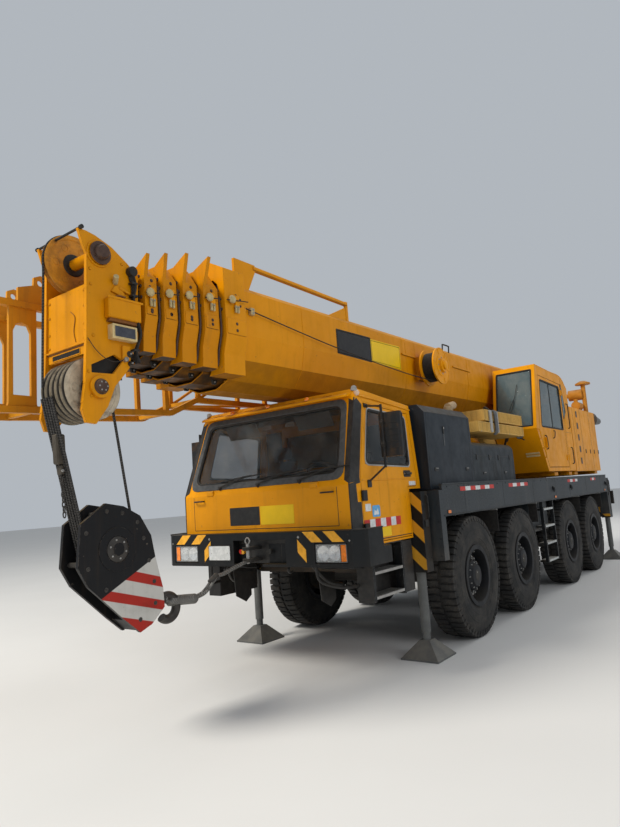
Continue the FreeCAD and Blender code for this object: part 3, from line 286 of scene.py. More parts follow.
MAT["orange"] = plain("muffler_orange", (0.46, 0.175, 0.008), rough=0.55, scale=9.0, dustf=0.3, wear=0.5,
                      wearcol=(0.2, 0.08, 0.04), extra=duct_extra)
MAT["greyp"] = plain("light_grey_part", (0.30, 0.30, 0.29), rough=0.5, scale=9.0, dustf=0.35)
MAT["tan"] = plain("exhaust_heat_tan", (0.34, 0.24, 0.13), rough=0.45, metal=0.4, scale=12.0, dustf=0.3)
MAT["white"] = plain("white_plate", (0.62, 0.63, 0.62), rough=0.45, scale=26.0, dustf=0.35)
MAT["dispblue"] = plain("display_blank_panel", (0.036, 0.042, 0.058), rough=0.35, scale=20.0, dustf=0.25)
MAT["red"] = plain("red_marking", (0.50, 0.018, 0.012), rough=0.42, scale=26.0, dustf=0.2)
MAT["blue"] = plain("blue_blank_sticker", (0.10, 0.34, 0.62), rough=0.4, scale=26.0, dustf=0.2)
MAT["decal_black"] = plain("blank_panel_black", (0.010, 0.010, 0.011), rough=0.36, scale=16.0, dustf=0.12)
MAT["decal_yellow"] = plain("blank_panel_yellow", (0.80, 0.50, 0.0), rough=0.36, var=0.05, scale=5.0, dustf=0.05)
MAT["hazy"] = plain("hazard_yellow", (0.78, 0.36, 0.015), rough=0.42, scale=18.0, dustf=0.22, wear=0.5,
                    wearcol=(0.05, 0.045, 0.04))
MAT["hazk"] = plain("hazard_black", (0.012, 0.012, 0.013), rough=0.42, scale=18.0, dustf=0.22)
MAT["brownpin"] = plain("greasy_pin_brown", (0.055, 0.026, 0.018), rough=0.38, scale=22.0, dustf=0.25)
MAT["coolerp"] = paint("cooler_dusty_yellow", (0.56, 0.34, 0.09), rough=0.6, dirt=0.7, streak=0.7, dust=0.55, chip=0.6,
                       dirtcol=(0.10, 0.07, 0.04), dustcol=(0.52, 0.40, 0.22))
# black grease, also used as painted shade behind the head's side opening and in its front slot
MAT["grease_and_shade"] = plain("black_grease_and_painted_shade", (0.008, 0.007, 0.006), rough=0.45, scale=12.0, dustf=0.12)
MAT["cable"] = plain("cable_black", (0.008, 0.008, 0.009), rough=0.5, scale=40.0, dustf=0.2)
MAT["rusty"] = plain("rust_stained", (0.20, 0.075, 0.015), rough=0.7, scale=14.0, dustf=0.2)
MAT["cream"] = plain("cream_frame", (0.62, 0.47, 0.22), rough=0.5, scale=14.0, dustf=0.25, wear=0.4, wearcol=(0.25, 0.15, 0.06))
MAT["socket"] = plain("socket_brown_steel", (0.050, 0.042, 0.032), rough=0.55, metal=0.3, scale=12.0, dustf=0.3)
MAT["head_yellow"] = paint("head_yellow_paint", (0.64, 0.245, 0.0), rough=0.42, dirt=0.3, streak=0.3, dust=0.3, chip=0.6)
MAT["brass"] = plain("roller_pale", (0.46, 0.36, 0.17), rough=0.45, scale=30.0, dustf=0.3)
MAT["greydark"] = plain("dark_grey_plastic", (0.10, 0.105, 0.11), rough=0.55, scale=30.0, dustf=0.3)


def lens(name, base, rough=0.12, alpha=1.0):
    g = G(name)
    rib = g.node("ShaderNodeTexWave", wave_type="BANDS", bands_direction="Y")
    g.put(rib.inputs["Vector"], g.tc)
    rib.inputs["Scale"].default_value = 60.0
    rib.inputs["Distortion"].default_value = 0.0
    a = g.noise(30.0, 3.0)
    g.set(Base_Color=g.mix(g.step(a, 0.3, 0.7), bright(base, 0.82), bright(base, 1.15)), Roughness=rough)
    g.b.inputs["Coat Weight"].default_value = 0.6
    g.b.inputs["Coat Roughness"].default_value = 0.08
    g.b.inputs["Alpha"].default_value = alpha
    g.bump(rib.outputs[1], 0.15, 0.001)
    return g.m


MAT["lens_clear"] = lens("lamp_clear", (0.70, 0.72, 0.72), 0.06, 0.28)
MAT["lens_amber"] = lens("lamp_amber", (0.80, 0.20, 0.01))
MAT["lens_red"] = lens("lamp_red", (0.45, 0.010, 0.008))
MAT["reflector"] = plain("lamp_reflector", (0.80, 0.80, 0.80), rough=0.12, metal=1.0, scale=8.0, dustf=0.1, bump=0.03)


def glass(name, tint, alpha, rough=0.03, dirt=0.35):
    g = G(name)
    a = g.noise(3.0, 6.0, 0.65)
    d = g.math("MULTIPLY", g.step(a, 0.42, 0.75), dirt)
    g.set(Base_Color=g.mix(d, tint, (0.30, 0.28, 0.24)),
          Roughness=g.math("ADD", g.math("MULTIPLY", d, 0.4), rough))
    al = g.math("ADD", alpha, g.math("MULTIPLY", d, 0.25), clamp=True)
    g.put(g.b.inputs["Alpha"], al)
    g.b.inputs["Specular IOR Level"].default_value = 0.6
    return g.m


MAT["glass"] = glass("cab_glass_grey", (0.035, 0.042, 0.045), 0.34)
MAT["glass_dark"] = glass("crane_cab_glass_dark", (0.085, 0.130, 0.140), 0.62)
MAT["glass_solid"] = plain("corner_pane_glass", (0.075, 0.115, 0.125), rough=0.07, scale=4.0, dustf=0.2, bump=0.0)
MAT["mirror"] = plain("mirror_glass", (0.55, 0.58, 0.60), rough=0.05, metal=1.0, scale=3.0, dustf=0.12, bump=0.0)


def cloth():
    g = G("seat_cloth_weave")
    w1 = g.node("ShaderNodeTexWave", wave_type="BANDS", bands_direction="X")
    w2 = g.node("ShaderNodeTexWave", wave_type="BANDS", bands_direction="Z")
    for w in (w1, w2):
        g.put(w.inputs["Vector"], g.tc)
        w.inputs["Scale"].default_value = 190.0
        w.inputs["Distortion"].default_value = 0.6
    h = g.math("MULTIPLY", w1.outputs[1], w2.outputs[1])
    n = g.noise(8.0, 4.0)
    c = g.mix(g.step(n, 0.3, 0.7), (0.022, 0.023, 0.027), (0.050, 0.052, 0.058))
    c = g.mix(g.math("MULTIPLY", h, 0.5), c, (0.075, 0.077, 0.085))
    g.set(Base_Color=c, Roughness=0.9)
    g.b.inputs["Sheen Weight"].default_value = 0.3
    g.bump(h, 0.5, 0.002)
    return g.m


def rope(name, base, pitch=26.0, rough=0.5):
    """laid wire rope: slanting strands in the bump and the colour"""
    g = G(name)
    w = g.node("ShaderNodeTexWave", wave_type="BANDS", bands_direction="DIAGONAL")
    g.put(w.inputs["Vector"], g.tc)
    w.inputs["Scale"].default_value = pitch
    w.inputs["Distortion"].default_value = 0.4
    n = g.noise(20.0, 4.0)
    c = g.mix(g.step(n, 0.3, 0.7), bright(base, 0.7), bright(base, 1.4))
    c = g.mix(g.step(w.outputs[1], 0.2, 0.8), bright(base, 0.45), c)
    g.set(Base_Color=c, Roughness=rough)
    g.b.inputs["Metallic"].default_value = 0.4
    g.bump(w.outputs[1], 0.7, 0.004)
    return g.m


MAT["cloth"] = cloth()
MAT["rope"] = rope("hoist_rope_greasy", (0.060, 0.055, 0.050))
MAT["sling"] = rope("sling_rope_grey", (0.24, 0.23, 0.21), 30.0, 0.6)


def tyre():
    g = G("tyre_rubber_dusty")
    n = g.noise(5.0, 6.0, 0.65)
    f = g.noise(60.0, 5.0, 0.6)
    c = g.mix(g.step(n, 0.3, 0.7), (0.012, 0.0118, 0.0115), (0.026, 0.024, 0.022))
    # dust in the tread and on the walls
    c = g.mix(g.step(g.math("MULTIPLY", g.step(n, 0.28, 0.72), g.step(f, 0.3, 0.7)), 0.1, 0.8, 0.0, 0.30), c, (0.13, 0.11, 0.085))
    g.set(Base_Color=c, Roughness=g.step(f, 0.2, 0.8, 0.72, 0.92))
    e, nrm = g.edge(0.004)
    g.bump(f, 0.3, 0.0015, nrm)
    return g.m


def sheave_mat(name, base, worn, pitch=0.0, first=0.0):
    g = G(name)
    n = g.noise(9.0, 6.0, 0.65)
    f = g.noise(55.0, 5.0, 0.6)
    c = g.mix(g.step(n, 0.32, 0.68), bright(base, 0.72), bright(base, 1.18))
    c = g.mix(g.math("MULTIPLY", g.step(g.noise(16.0, 5.0, 0.7), 0.5, 0.66), 0.55), c, worn)
    if pitch > 0.0:
        # grease in the rope grooves, which lie a pitch apart along the axle
        y = g.math("MULTIPLY", g.math("SUBTRACT", g.pos()[1], first - pitch / 2.0), 1.0 / pitch)
        d = g.math("ABSOLUTE", g.math("SUBTRACT", g.math("FRACT", y), 0.5))
        c = g.mix(g.step(d, 0.36, 0.26), c, (0.022, 0.016, 0.011))
    g.set(Base_Color=c, Roughness=g.step(f, 0.2, 0.8, 0.42, 0.62))
    e, nrm = g.edge(0.006)
    g.bump(f, 0.25, 0.0015, nrm)
    return g.m


MAT["tyre"] = tyre()
MAT["rimpaint"] = paint("rim_dark_paint", (0.016, 0.017, 0.019), rough=0.5, dirt=0.3, streak=0.1, dust=0.30, chip=0.3,
                        dustcol=(0.12, 0.10, 0.075))
MAT["sheave"] = sheave_mat("lower_sheave_nylon", (0.42, 0.35, 0.25), (0.10, 0.07, 0.04), 0.065, -0.070)
MAT["sheave_y"] = sheave_mat("top_sheave_yellow", (0.52, 0.215, 0.012), (0.22, 0.10, 0.02))


def door_extra(g, col):
    # the mirror and its arms stand outside the door skin: black plastic
    y = g.math("ABSOLUTE", g.pos()[1])
    m = g.step(y, 1.1012, 1.1022)
    z = g.pos()[2]
    # above the waist the skin leans inwards
    m2 = g.math("MULTIPLY", g.step(g.math("ADD", y, g.math("MULTIPLY", g.math("SUBTRACT", z, 1.8), 0.065)), 1.1025, 1.104),
                g.step(z, 1.82, 1.83))
    return g.mix(g.math("MAXIMUM", m, m2), col, (0.016, 0.017, 0.018))


MAT["door"] = paint("cab_door_paint", YELLOW, rough=0.38, dirt=0.3, streak=0.4, dust=0.2, chip=0.4, extra=door_extra)


def column_extra(g, col):
    # slanting warning stripes on the columns' front and rear faces, plain dark beam
    p = g.pos()
    y = g.math("ABSOLUTE", p[1])
    s = g.math("ADD", p[2], g.math("MULTIPLY", y, 0.95))
    fr = g.math("FRACT", g.math("ADD", g.math("MULTIPLY", s, 1.0 / 0.300), 0.30))
    st = g.math("MULTIPLY", g.step(fr, 0.0, 0.03), g.step(fr, 0.48, 0.45))
    n = g.node("ShaderNodeSeparateXYZ")
    g.put(n.inputs[0], g.geo.outputs["Normal"])
    face = g.step(g.math("ABSOLUTE", n.outputs[0]), 0.6, 0.7)
    on = g.math("MULTIPLY", g.step(y, 0.985, 0.988), g.step(p[2], 0.885, 0.890))
    on = g.math("MULTIPLY", on, face)
    return g.mix(g.math("MULTIPLY", st, on), col, (0.66, 0.31, 0.02))


MAT["column"] = paint("outrigger_column_paint", (0.008, 0.009, 0.010), rough=0.45, dirt=0.25, streak=0.4, dust=0.25,
                      chip=0.6, mud=0.25, extra=column_extra, chipcol=(0.10, 0.08, 0.06))


def hook_extra(g, col):
    # slanting red and white bars on the lower part of the block's cheeks
    p = g.pos()
    x, z = p[0], p[2]
    c = g.math("SUBTRACT", z, g.math("MULTIPLY", g.math("SUBTRACT", x, 4.008), 0.30))

    def band(lo, hi):
        return g.math("MULTIPLY", g.step(c, lo - 0.003, lo + 0.003), g.step(c, hi + 0.003, hi - 0.003))
    white = g.math("MAXIMUM", g.math("MAXIMUM", g.step(c, 0.737, 0.743), band(0.556, 0.660)), band(0.378, 0.480))
    paintcol = g.mix(white, (0.36, 0.022, 0.014), (0.50, 0.48, 0.44))
    on = g.step(g.math("ADD", z, g.math("MULTIPLY", g.math("SUBTRACT", x, 4.008), 0.496)), 2.037, 2.031)
    side = g.step(g.math("ABSOLUTE", p[1]), 0.122, 0.124)
    return g.mix(g.math("MULTIPLY", on, side), col, paintcol)


MAT["hookblock"] = paint("hook_block_black", (0.009, 0.009, 0.010), rough=0.42, dirt=0.4, streak=0.3, dust=0.15, chip=0.8,
                         extra=hook_extra, chipcol=(0.22, 0.18, 0.14))
MAT["hookdark"] = plain("hook_forged_dark", (0.045, 0.042, 0.040), rough=0.42, metal=0.5, scale=12.0, dustf=0.2, wear=0.6,
                        wearcol=(0.30, 0.27, 0.23))


def ladder_extra(g, col):
    # the steps below the cab are painted black, the boarding ladders are bare
    x = g.pos()[0]
    rail = g.math("MAXIMUM", g.step(x, -1.415, -1.420), g.step(x, -0.962, -0.957))
    return g.mix(g.math("MAXIMUM", g.step(x, 2.90, 2.95), rail), col, (0.010, 0.011, 0.012))


MAT["ladder"] = paint("ladder_metal", (0.40, 0.41, 0.40), rough=0.45, dirt=0.3, streak=0.3, dust=0.3, chip=0.4,
                      extra=ladder_extra, chipcol=(0.45, 0.44, 0.42))


def deck_mat():
    g = G("deck_chequer_plate")
    n = g.noise(2.0, 6.0, 0.65)
    f = g.noise(50.0, 4.0)
    c = g.mix(g.step(n, 0.3, 0.7), bright(SLATE, 0.8), bright(SLATE, 1.25))
    up = g.step(g.up(), 0.6, 0.95)
    c = g.mix(g.math("MULTIPLY", up, g.step(n, 0.2, 0.8, 0.25, 0.62)), c, (0.26, 0.22, 0.165))
    st = g.noise(1.0, 5.0, 0.62, g.scaled(11.0, 11.0, 0.9))
    c = g.mix(g.math("MULTIPLY", g.step(st, 0.5, 0.72), 0.22), c, (0.10, 0.09, 0.075))
    md = g.math("MULTIPLY", g.step(g.pos()[2], 1.45, 0.8), g.step(g.noise(3.2, 6.0, 0.65), 0.34, 0.66, 0.2, 1.0))
    c = g.mix(g.math("MULTIPLY", md, 0.45), c, (0.16, 0.13, 0.10))
    g.set(Base_Color=c, Roughness=g.step(f, 0.2, 0.8, 0.42, 0.62))
    v = g.voronoi(38.0, "F1", g.scaled(1.0, 0.42, 1.0))
    e, nrm = g.edge(0.006)
    g.bump(g.math("MULTIPLY", g.step(v, 0.45, 0.2), up), 0.6, 0.004, nrm)
    return g.m


MAT["deck"] = deck_mat()

NODE_MATS = {
    "chassis_frame": "under", "deck": "deck", "axles": "axle", "cab_shell": "yellow", "cab_door_left": "door",
    "cab_door_right": "door", "cab_glass": "glass", "cab_seats": "cloth", "dashboard": "dash", "front_bumper": "black",
    "lamps": "greydark", "ladders": "ladder", "engine_hood": "hood", "carrier_engine": "iron", "toolboxes": "slate",
    "turntable": "yellow", "house": "yellow", "intake_and_muffler": "orange", "crane_cab_shell": "yellow",
    "crane_cab_glass": "glass_dark", "crane_cab_door": "yellow", "crane_seat": "cloth", "oil_coolers": "coolerp",
    "winch_drum": "steel", "boom_base": "boom_yellow", "boom_head": "head_yellow", "top_sheave": "sheave_y",
    "lower_sheaves": "sheave", "cable_reel": "yellow", "luff_barrel": "yellow", "luff_rod": "chrome", "jib": "jib_yellow",
    "hook_block": "hookblock", "hoist_ropes": "rope", "hook": "hookdark",
}
for k in ("front_left", "front_right", "rear_left", "rear_right"):
    NODE_MATS["outrigger_beam_" + k] = "column"
    NODE_MATS["jack_" + k] = "padsteel"
for k in (1, 2, 3, 4, 5):
    NODE_MATS["boom_section_%d" % k] = "section_yellow"
for i in (1, 2, 3, 4):
    for s in ("left", "right"):
        NODE_MATS["wheel_%d_%s" % (i, s)] = "tyre"
        if i < 3:
            NODE_MATS["knuckle_%d_%s" % (i, s)] = "axle"
for name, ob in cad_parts.items():
    ob.data.materials.clear()
    ob.data.materials.append(MAT[NODE_MATS[name]])


# ------------------------------------------------------------------------------------- mesh builder
def rounded(pts, r, k=4):
    """closed outline with each corner rounded by radius r"""
    out = []
    n = len(pts)
    for i in range(n):
        p, a, b = Vector(pts[i]), Vector(pts[i - 1]), Vector(pts[(i + 1) % n])
        u, v = (a - p).normalized(), (b - p).normalized()
        ang = u.angle(v)
        d = min(r / max(0.2, math_tan(ang / 2)), 0.45 * (a - p).length, 0.45 * (b - p).length)
        s, e = p + u * d, p + v * d
        for j in range(k + 1):
            t = j / k
            q = s * (1 - t) * (1 - t) + p * 2 * t * (1 - t) + e * t * t
            out.append((q.x, q.y))
    return out


def math_tan(a):
    return sin(a) / max(1e-6, cos(a))


def grow(pts, d):
    """closed outline moved outwards by d"""
    n = len(pts)
    area = sum(pts[i - 1][0] * pts[i][1] - pts[i][0] * pts[i - 1][1] for i in range(n))
    s = 1.0 if area > 0 else -1.0
    out = []
    for i in range(n):
        p, a, b = Vector(pts[i]), Vector(pts[i - 1]), Vector(pts[(i + 1) % n])
        e0, e1 = (p - a), (b - p)
        n0 = Vector((e0.y, -e0.x)).normalized() * s
        n1 = Vector((e1.y, -e1.x)).normalized() * s
        m = n0 + n1
        m = m / max(0.3, m.length_squared) * 2.0
        out.append((p.x + m.x * d, p.y + m.y * d))
    return out


class Acc:
    """collects shapes given in millimetres of the carrier's coordinates into one mesh"""

    def __init__(self, name):
        self.name = name
        self.v, self.f, self.m, self.keys = [], [], [], []

    def raw(self, verts, faces, key):
        if key not in self.keys:
            self.keys.append(key)
        k = self.keys.index(key)
        b = len(self.v)
        self.v += [tuple(p) for p in verts]
        self.f += [tuple(i + b for i in f) for f in faces]
        self.m += [k] * len(faces)

    def block(self, p, ax, key, ch=3.0):
        """box with its middle at p and the three half edges ax, all edges chamfered"""
        p = Vector(p)
        X, Y, Z = (Vector(a) for a in ax)
        lx, ly, lz = X.length, Y.length, Z.length
        c = min(ch, 0.4 * min(lx, ly, lz))
        ux, uy, uz = X / lx, Y / ly, Z / lz
        vs, idx = [], {}
        for sx in (-1, 1):
            for sy in (-1, 1):
                for sz in (-1, 1):
                    for k in range(3):
                        ex = lx if k == 0 else lx - c
                        ey = ly if k == 1 else ly - c
                        ez = lz if k == 2 else lz - c
                        idx[sx, sy, sz, k] = len(vs)
                        vs.append(p + ux * ex * sx + uy * ey * sy + uz * ez * sz)
        fs = []
        q = ((-1, -1), (1, -1), (1, 1), (-1, 1))
        for s in (-1, 1):
            fs.append([idx[s, a, b, 0] for a, b in q])
            fs.append([idx[a, s, b, 1] for a, b in q])
            fs.append([idx[a, b, s, 2] for a, b in q])
        for a in (-1, 1):
            for b in (-1, 1):
                fs.append([idx[a, b, -1, 0], idx[a, b, 1, 0], idx[a, b, 1, 1], idx[a, b, -1, 1]])
                fs.append([idx[a, -1, b, 0], idx[a, 1, b, 0], idx[a, 1, b, 2], idx[a, -1, b, 2]])
                fs.append([idx[-1, a, b, 1], idx[1, a, b, 1], idx[1, a, b, 2], idx[-1, a, b, 2]])
                for c2 in (-1, 1):
                    fs.append([idx[a, b, c2, 0], idx[a, b, c2, 1], idx[a, b, c2, 2]])
        self.raw(vs, fs, key)

    def box(self, x0, x1, y0, y1, z0, z1, key, ch=3.0):
        x0, x1 = sorted((x0, x1))
        y0, y1 = sorted((y0, y1))
        z0, z1 = sorted((z0, z1))
        self.block(((x0 + x1) / 2, (y0 + y1) / 2, (z0 + z1) / 2),
                   (((x1 - x0) / 2, 0, 0), (0, (y1 - y0) / 2, 0), (0, 0, (z1 - z0) / 2)), key, ch)

    def bar(self, p, q, w, h, key, up=(0, 0, 1), ch=2.0):
        """straight bar of section w by h from p to q"""
        p, q = Vector(p), Vector(q)
        d = (q - p)
        u = d.normalized()
        s = u.cross(Vector(up))
        if s.length < 1e-3:
            s = u.cross(Vector((1, 0, 0)))
        s.normalize()
        t = s.cross(u)
        self.block((p + q) / 2, (d / 2, s * w / 2, t * h / 2), key, ch)

    def lathe(self, p, d, prof, key, n=20):
        """prof: (along, radius) from p along d"""
        p, d = Vector(p), Vector(d).normalized()
        a = d.orthogonal().normalized()
        b = d.cross(a)
        vs, fs, rows = [], [], []
        for s, r in prof:
            if r <= 1e-6:
                rows.append([len(vs)])
                vs.append(p + d * s)
            else:
                rows.append(list(range(len(vs), len(vs) + n)))
                for i in range(n):
                    t = 2 * pi * i / n
                    vs.append(p + d * s + (a * cos(t) + b * sin(t)) * r)
        for r0, r1 in zip(rows, rows[1:]):
            if len(r0) == 1 and len(r1) == 1:
                continue
            for i in range(n):
                j = (i + 1) % n
                if len(r0) == 1:
                    fs.append((r0[0], r1[i], r1[j]))
                elif len(r1) == 1:
                    fs.append((r0[i], r1[0], r0[j]))
                else:
                    fs.append((r0[i], r1[i], r1[j], r0[j]))
        self.raw(vs, fs, key)

    def cyl(self, p, q, r, key, n=16, c=1.5):
        p, q = Vector(p), Vector(q)
        L = (q - p).length
        c = min(c, r * 0.4, L * 0.4)
        self.lathe(p, q - p, [(0, 0), (0, r - c), (c, r), (L - c, r), (L, r - c), (L, 0)], key, n)

    def bolt(self, p, d, r, h, key="steel", washer=True):
        if washer:
            self.lathe(p, d, [(0, 0), (0, r * 1.35), (h * 0.22, r * 1.35), (h * 0.22, 0)], key, 12)
        self.lathe(p, d, [(0, 0), (0, r), (h * 0.82, r), (h, r * 0.82), (h, 0)], key, 6)

    def tube(self, pts, r, key, n=8, k=5, closed=False):
        """round tube along a smooth line through pts"""
        P = [Vector(q) for q in pts]
        if len(P) == 2 or k < 2:
            path = P
        else:
            path = []
            m = len(P)
            rng = range(m if closed else m - 1)
            for i in rng:
                p1, p2 = P[i], P[(i + 1) % m]
                p0 = P[i - 1] if (closed or i > 0) else p1 + (p1 - p2)
                p3 = P[(i + 2) % m] if (closed or i + 2 < m) else p2 + (p2 - p1)
                for j in range(k):
                    t = j / k
                    path.append(0.5 * ((2 * p1) + (p2 - p0) * t + (2 * p0 - 5 * p1 + 4 * p2 - p3) * t * t +
                                       (3 * p1 - p0 - 3 * p2 + p3) * t * t * t))
            if not closed:
                path.append(P[-1])
        vs, fs = [], []
        a = None
        m = len(path)
        for i, q in enumerate(path):
            if closed:
                d = (path[(i + 1) % m] - path[i - 1]).normalized()
            else:
                d = (path[min(i + 1, m - 1)] - path[max(i - 1, 0)]).normalized()
            if a is None:
                a = d.orthogonal().normalized()
            a = (a - d * a.dot(d)).normalized()
            b = d.cross(a)
            for j in range(n):
                t = 2 * pi * j / n
                vs.append(q + (a * cos(t) + b * sin(t)) * r)
        for i in range(m if closed else m - 1):
            for j in range(n):
                k2 = (j + 1) % n
                i2 = (i + 1) % m
                fs.append((i * n + j, i * n + k2, i2 * n + k2, i2 * n + j))
        if not closed:
            fs.append(tuple(range(n - 1, -1, -1)))
            fs.append(tuple(range((m - 1) * n, m * n)))
        self.raw(vs, fs, key)

    def slab(self, pts2, put, t, key, ch=0.8, base=0.0):
        """flat plate: outline in the plane, put(u, v, h) gives the point at height h above it"""
        n = len(pts2)
        inner = grow(pts2, -ch) if ch > 0 else pts2
        vs = [put(u, v, base) for u, v in pts2] + [put(u, v, base + t - ch) for u, v in pts2] + \
             [put(u, v, base + t) for u, v in inner]
        fs = [tuple(range(n))[::-1], tuple(range(2 * n, 3 * n))]
        for i in range(n):
            j = (i + 1) % n
            fs.append((i, j, n + j, n + i))
            fs.append((n + i, n + j, 2 * n + j, 2 * n + i))
        self.raw(vs, fs, key)

    def ring(self, outer, inner, put, h0, h1, key, ch=2.0):
        """flat frame between two outlines with the same number of points"""
        n = len(outer)
        o2, i2 = grow(outer, -ch), grow(inner, ch)
        rows = [[put(u, v, h0) for u, v in outer], [put(u, v, h1 - ch) for u, v in outer], [put(u, v, h1) for u, v in o2],
                [put(u, v, h1) for u, v in i2], [put(u, v, h1 - ch) for u, v in inner], [put(u, v, h0) for u, v in inner]]
        vs = [p for r in rows for p in r]
        fs = []
        for a in range(6):
            b = (a + 1) % 6
            for i in range(n):
                j = (i + 1) % n
                fs.append((a * n + i, a * n + j, b * n + j, b * n + i))
        self.raw(vs, fs, key)

    def prism(self, pts2, axis, a, b, key, ch=2.0):
        """outline in the plane across axis, extruded from a to b"""
        a, b = sorted((a, b))
        mk = {"y": lambda u, v, h: (u, h, v), "x": lambda u, v, h: (h, u, v), "z": lambda u, v, h: (u, v, h)}[axis]
        n = len(pts2)
        ch = min(ch, 0.4 * (b - a))
        inner = grow(pts2, -ch)
        vs = [mk(u, v, a) for u, v in inner] + [mk(u, v, a + ch) for u, v in pts2] + \
             [mk(u, v, b - ch) for u, v in pts2] + [mk(u, v, b) for u, v in inner]
        fs = [tuple(range(n)), tuple(range(3 * n, 4 * n))[::-1]]
        for r in range(3):
            for i in range(n):
                j = (i + 1) % n
                fs.append((r * n + i, r * n + j, (r + 1) * n + j, (r + 1) * n + i))
        self.raw(vs, fs, key)

    def done(self, body, slot, sharp=32.0, local=None):
        me = bpy.data.meshes.new(self.name)
        if local is None:
            vs = [C(*p) for p in self.v]
        else:
            vs = [(p[0] / 1000.0, p[1] / 1000.0, p[2] / 1000.0) for p in self.v]
        me.from_pydata(vs, [], self.f)
        for k in self.keys:
            me.materials.append(MAT[k])
        me.polygons.foreach_set("material_index", self.m)
        me.validate()
        b = bmesh.new()
        b.from_mesh(me)
        bmesh.ops.recalc_face_normals(b, faces=b.faces)
        b.to_mesh(me)
        b.free()
        me.polygons.foreach_set("use_smooth", [True] * len(me.polygons))
        me.set_sharp_from_angle(angle=radians(sharp))
        me.update()
        ob = bpy.data.objects.new(self.name, me)
        bpy.context.scene.collection.objects.link(ob)
        if local is not None:
            ob.matrix_world = local
        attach(ob, body)
        return ob


def arc(cx, cy, r, a0, a1, k):
    return [(cx + r * cos(radians(a0 + (a1 - a0) * i / k)), cy + r * sin(radians(a0 + (a1 - a0) * i / k))) for i in range(k + 1)]


SIDES = ((1, "left"), (-1, "right"))

# ------------------------------------------------------------------------------------- wheels
TR, TW, RIM = 685.0, 375.0, 317.5


def tyre_mesh(a):
    """crane tyre in wheel coordinates: y = 0 in its middle, outer side at +y"""
    h = TW / 2
    half = [(0, 664), (60, 663.5), (110, 661), (140, 655), (158, 640), (170, 618), (179, 580), (185, 530), (186.5, 485),
            (184, 440), (178, 408), (170, 384), (163, 366), (165, 361), (165, 352), (158, 346)]
    prof = [(-y, r) for y, r in reversed(half[1:])] + half
    prof = [(-150, 322)] + prof + [(150, 322)]
    n = 96
    vs, fs = [], []
    m = len(prof)
    for i in range(n):
        t = 2 * pi * i / n
        for y, r in prof:
            vs.append((r * sin(t), y, r * cos(t)))
    for i in range(n):
        j = (i + 1) % n
        for k in range(m - 1):
            fs.append((i * m + k, i * m + k + 1, j * m + k + 1, j * m + k))
        fs.append((i * m + m - 1, i * m, j * m, j * m + m - 1))
    a.raw(vs, fs, "tyre")
    # raised rings on the side walls
    for s in (1, -1):
        for y, r in ((186.6, 520), (183.6, 430)):
            k = 96
            vv, ff = [], []
            sec = [(y - 4, r + 9), (y + 0.6, r + 6), (y + 0.6, r - 6), (y - 4, r - 9)]
            for i in range(k):
                t = 2 * pi * i / k
                for yy, rr in sec:
                    vv.append((rr * sin(t), s * min(yy, 187.3), rr * cos(t)))
            for i in range(k):
                j = (i + 1) % k
                for q in range(4):
                    q2 = (q + 1) % 4
                    ff.append((i * 4 + q, i * 4 + q2, j * 4 + q2, j * 4 + q))
            a.raw(vv, ff, "tyre")

    def lug(t, pts, top, low):
        """block of tread: outline (along the rim in mm at the top, across) lifted to the top radius"""
        k = len(pts)
        vv = []
        for rr, sh in ((low, 1.13), (top - 2.5, 1.0), (top, 0.90)):
            cx = sum(p[0] for p in pts) / k
            cy = sum(p[1] for p in pts) / k
            for u, y in pts:
                uu, yy = cx + (u - cx) * sh, cy + (y - cy) * (1.0 if sh > 1.0 else sh if sh < 1.0 else 1.0)
                ang = t + uu / TR
                drop = 0.0 if abs(yy) < 120 else (abs(yy) - 120) ** 2 * 0.0032
                r2 = rr - drop
                vv.append((r2 * sin(ang), yy, r2 * cos(ang)))
        ff = [tuple(range(2 * k, 3 * k))]
        for q in range(2):
            for i in range(k):
                j = (i + 1) % k
                ff.append((q * k + i, q * k + j, (q + 1) * k + j, (q + 1) * k + i))
        a.raw(vv, ff, "tyre")
    N = 54
    for i in range(N):
        for s in (1, -1):
            t = 2 * pi * (i + (0.5 if s < 0 else 0.0)) / N
            # long shoulder bar that bends towards the middle
            lug(t, [(-31, s * 168), (31, s * 168), (32, s * 120), (20, s * 70), (27, s * 22), (-27, s * 12), (-33, s * 70),
                    (-26, s * 120)], TR - 0.6, 657)
            # foot of the bar down the shoulder
            vv = []
            for u in (-27, 27):
                for y, r in ((162, 662), (170.5, 642), (176.5, 624), (176, 616), (164, 616), (158, 640)):
                    ang = t + u / 650.0
                    vv.append((r * sin(ang), s * y, r * cos(ang)))
            ff = [(0, 1, 2, 3, 4, 5), (11, 10, 9, 8, 7, 6)]
            for q in range(6):
                q2 = (q + 1) % 6
                ff.append((q, q2, 6 + q2, 6 + q))
            a.raw(vv, ff, "tyre")


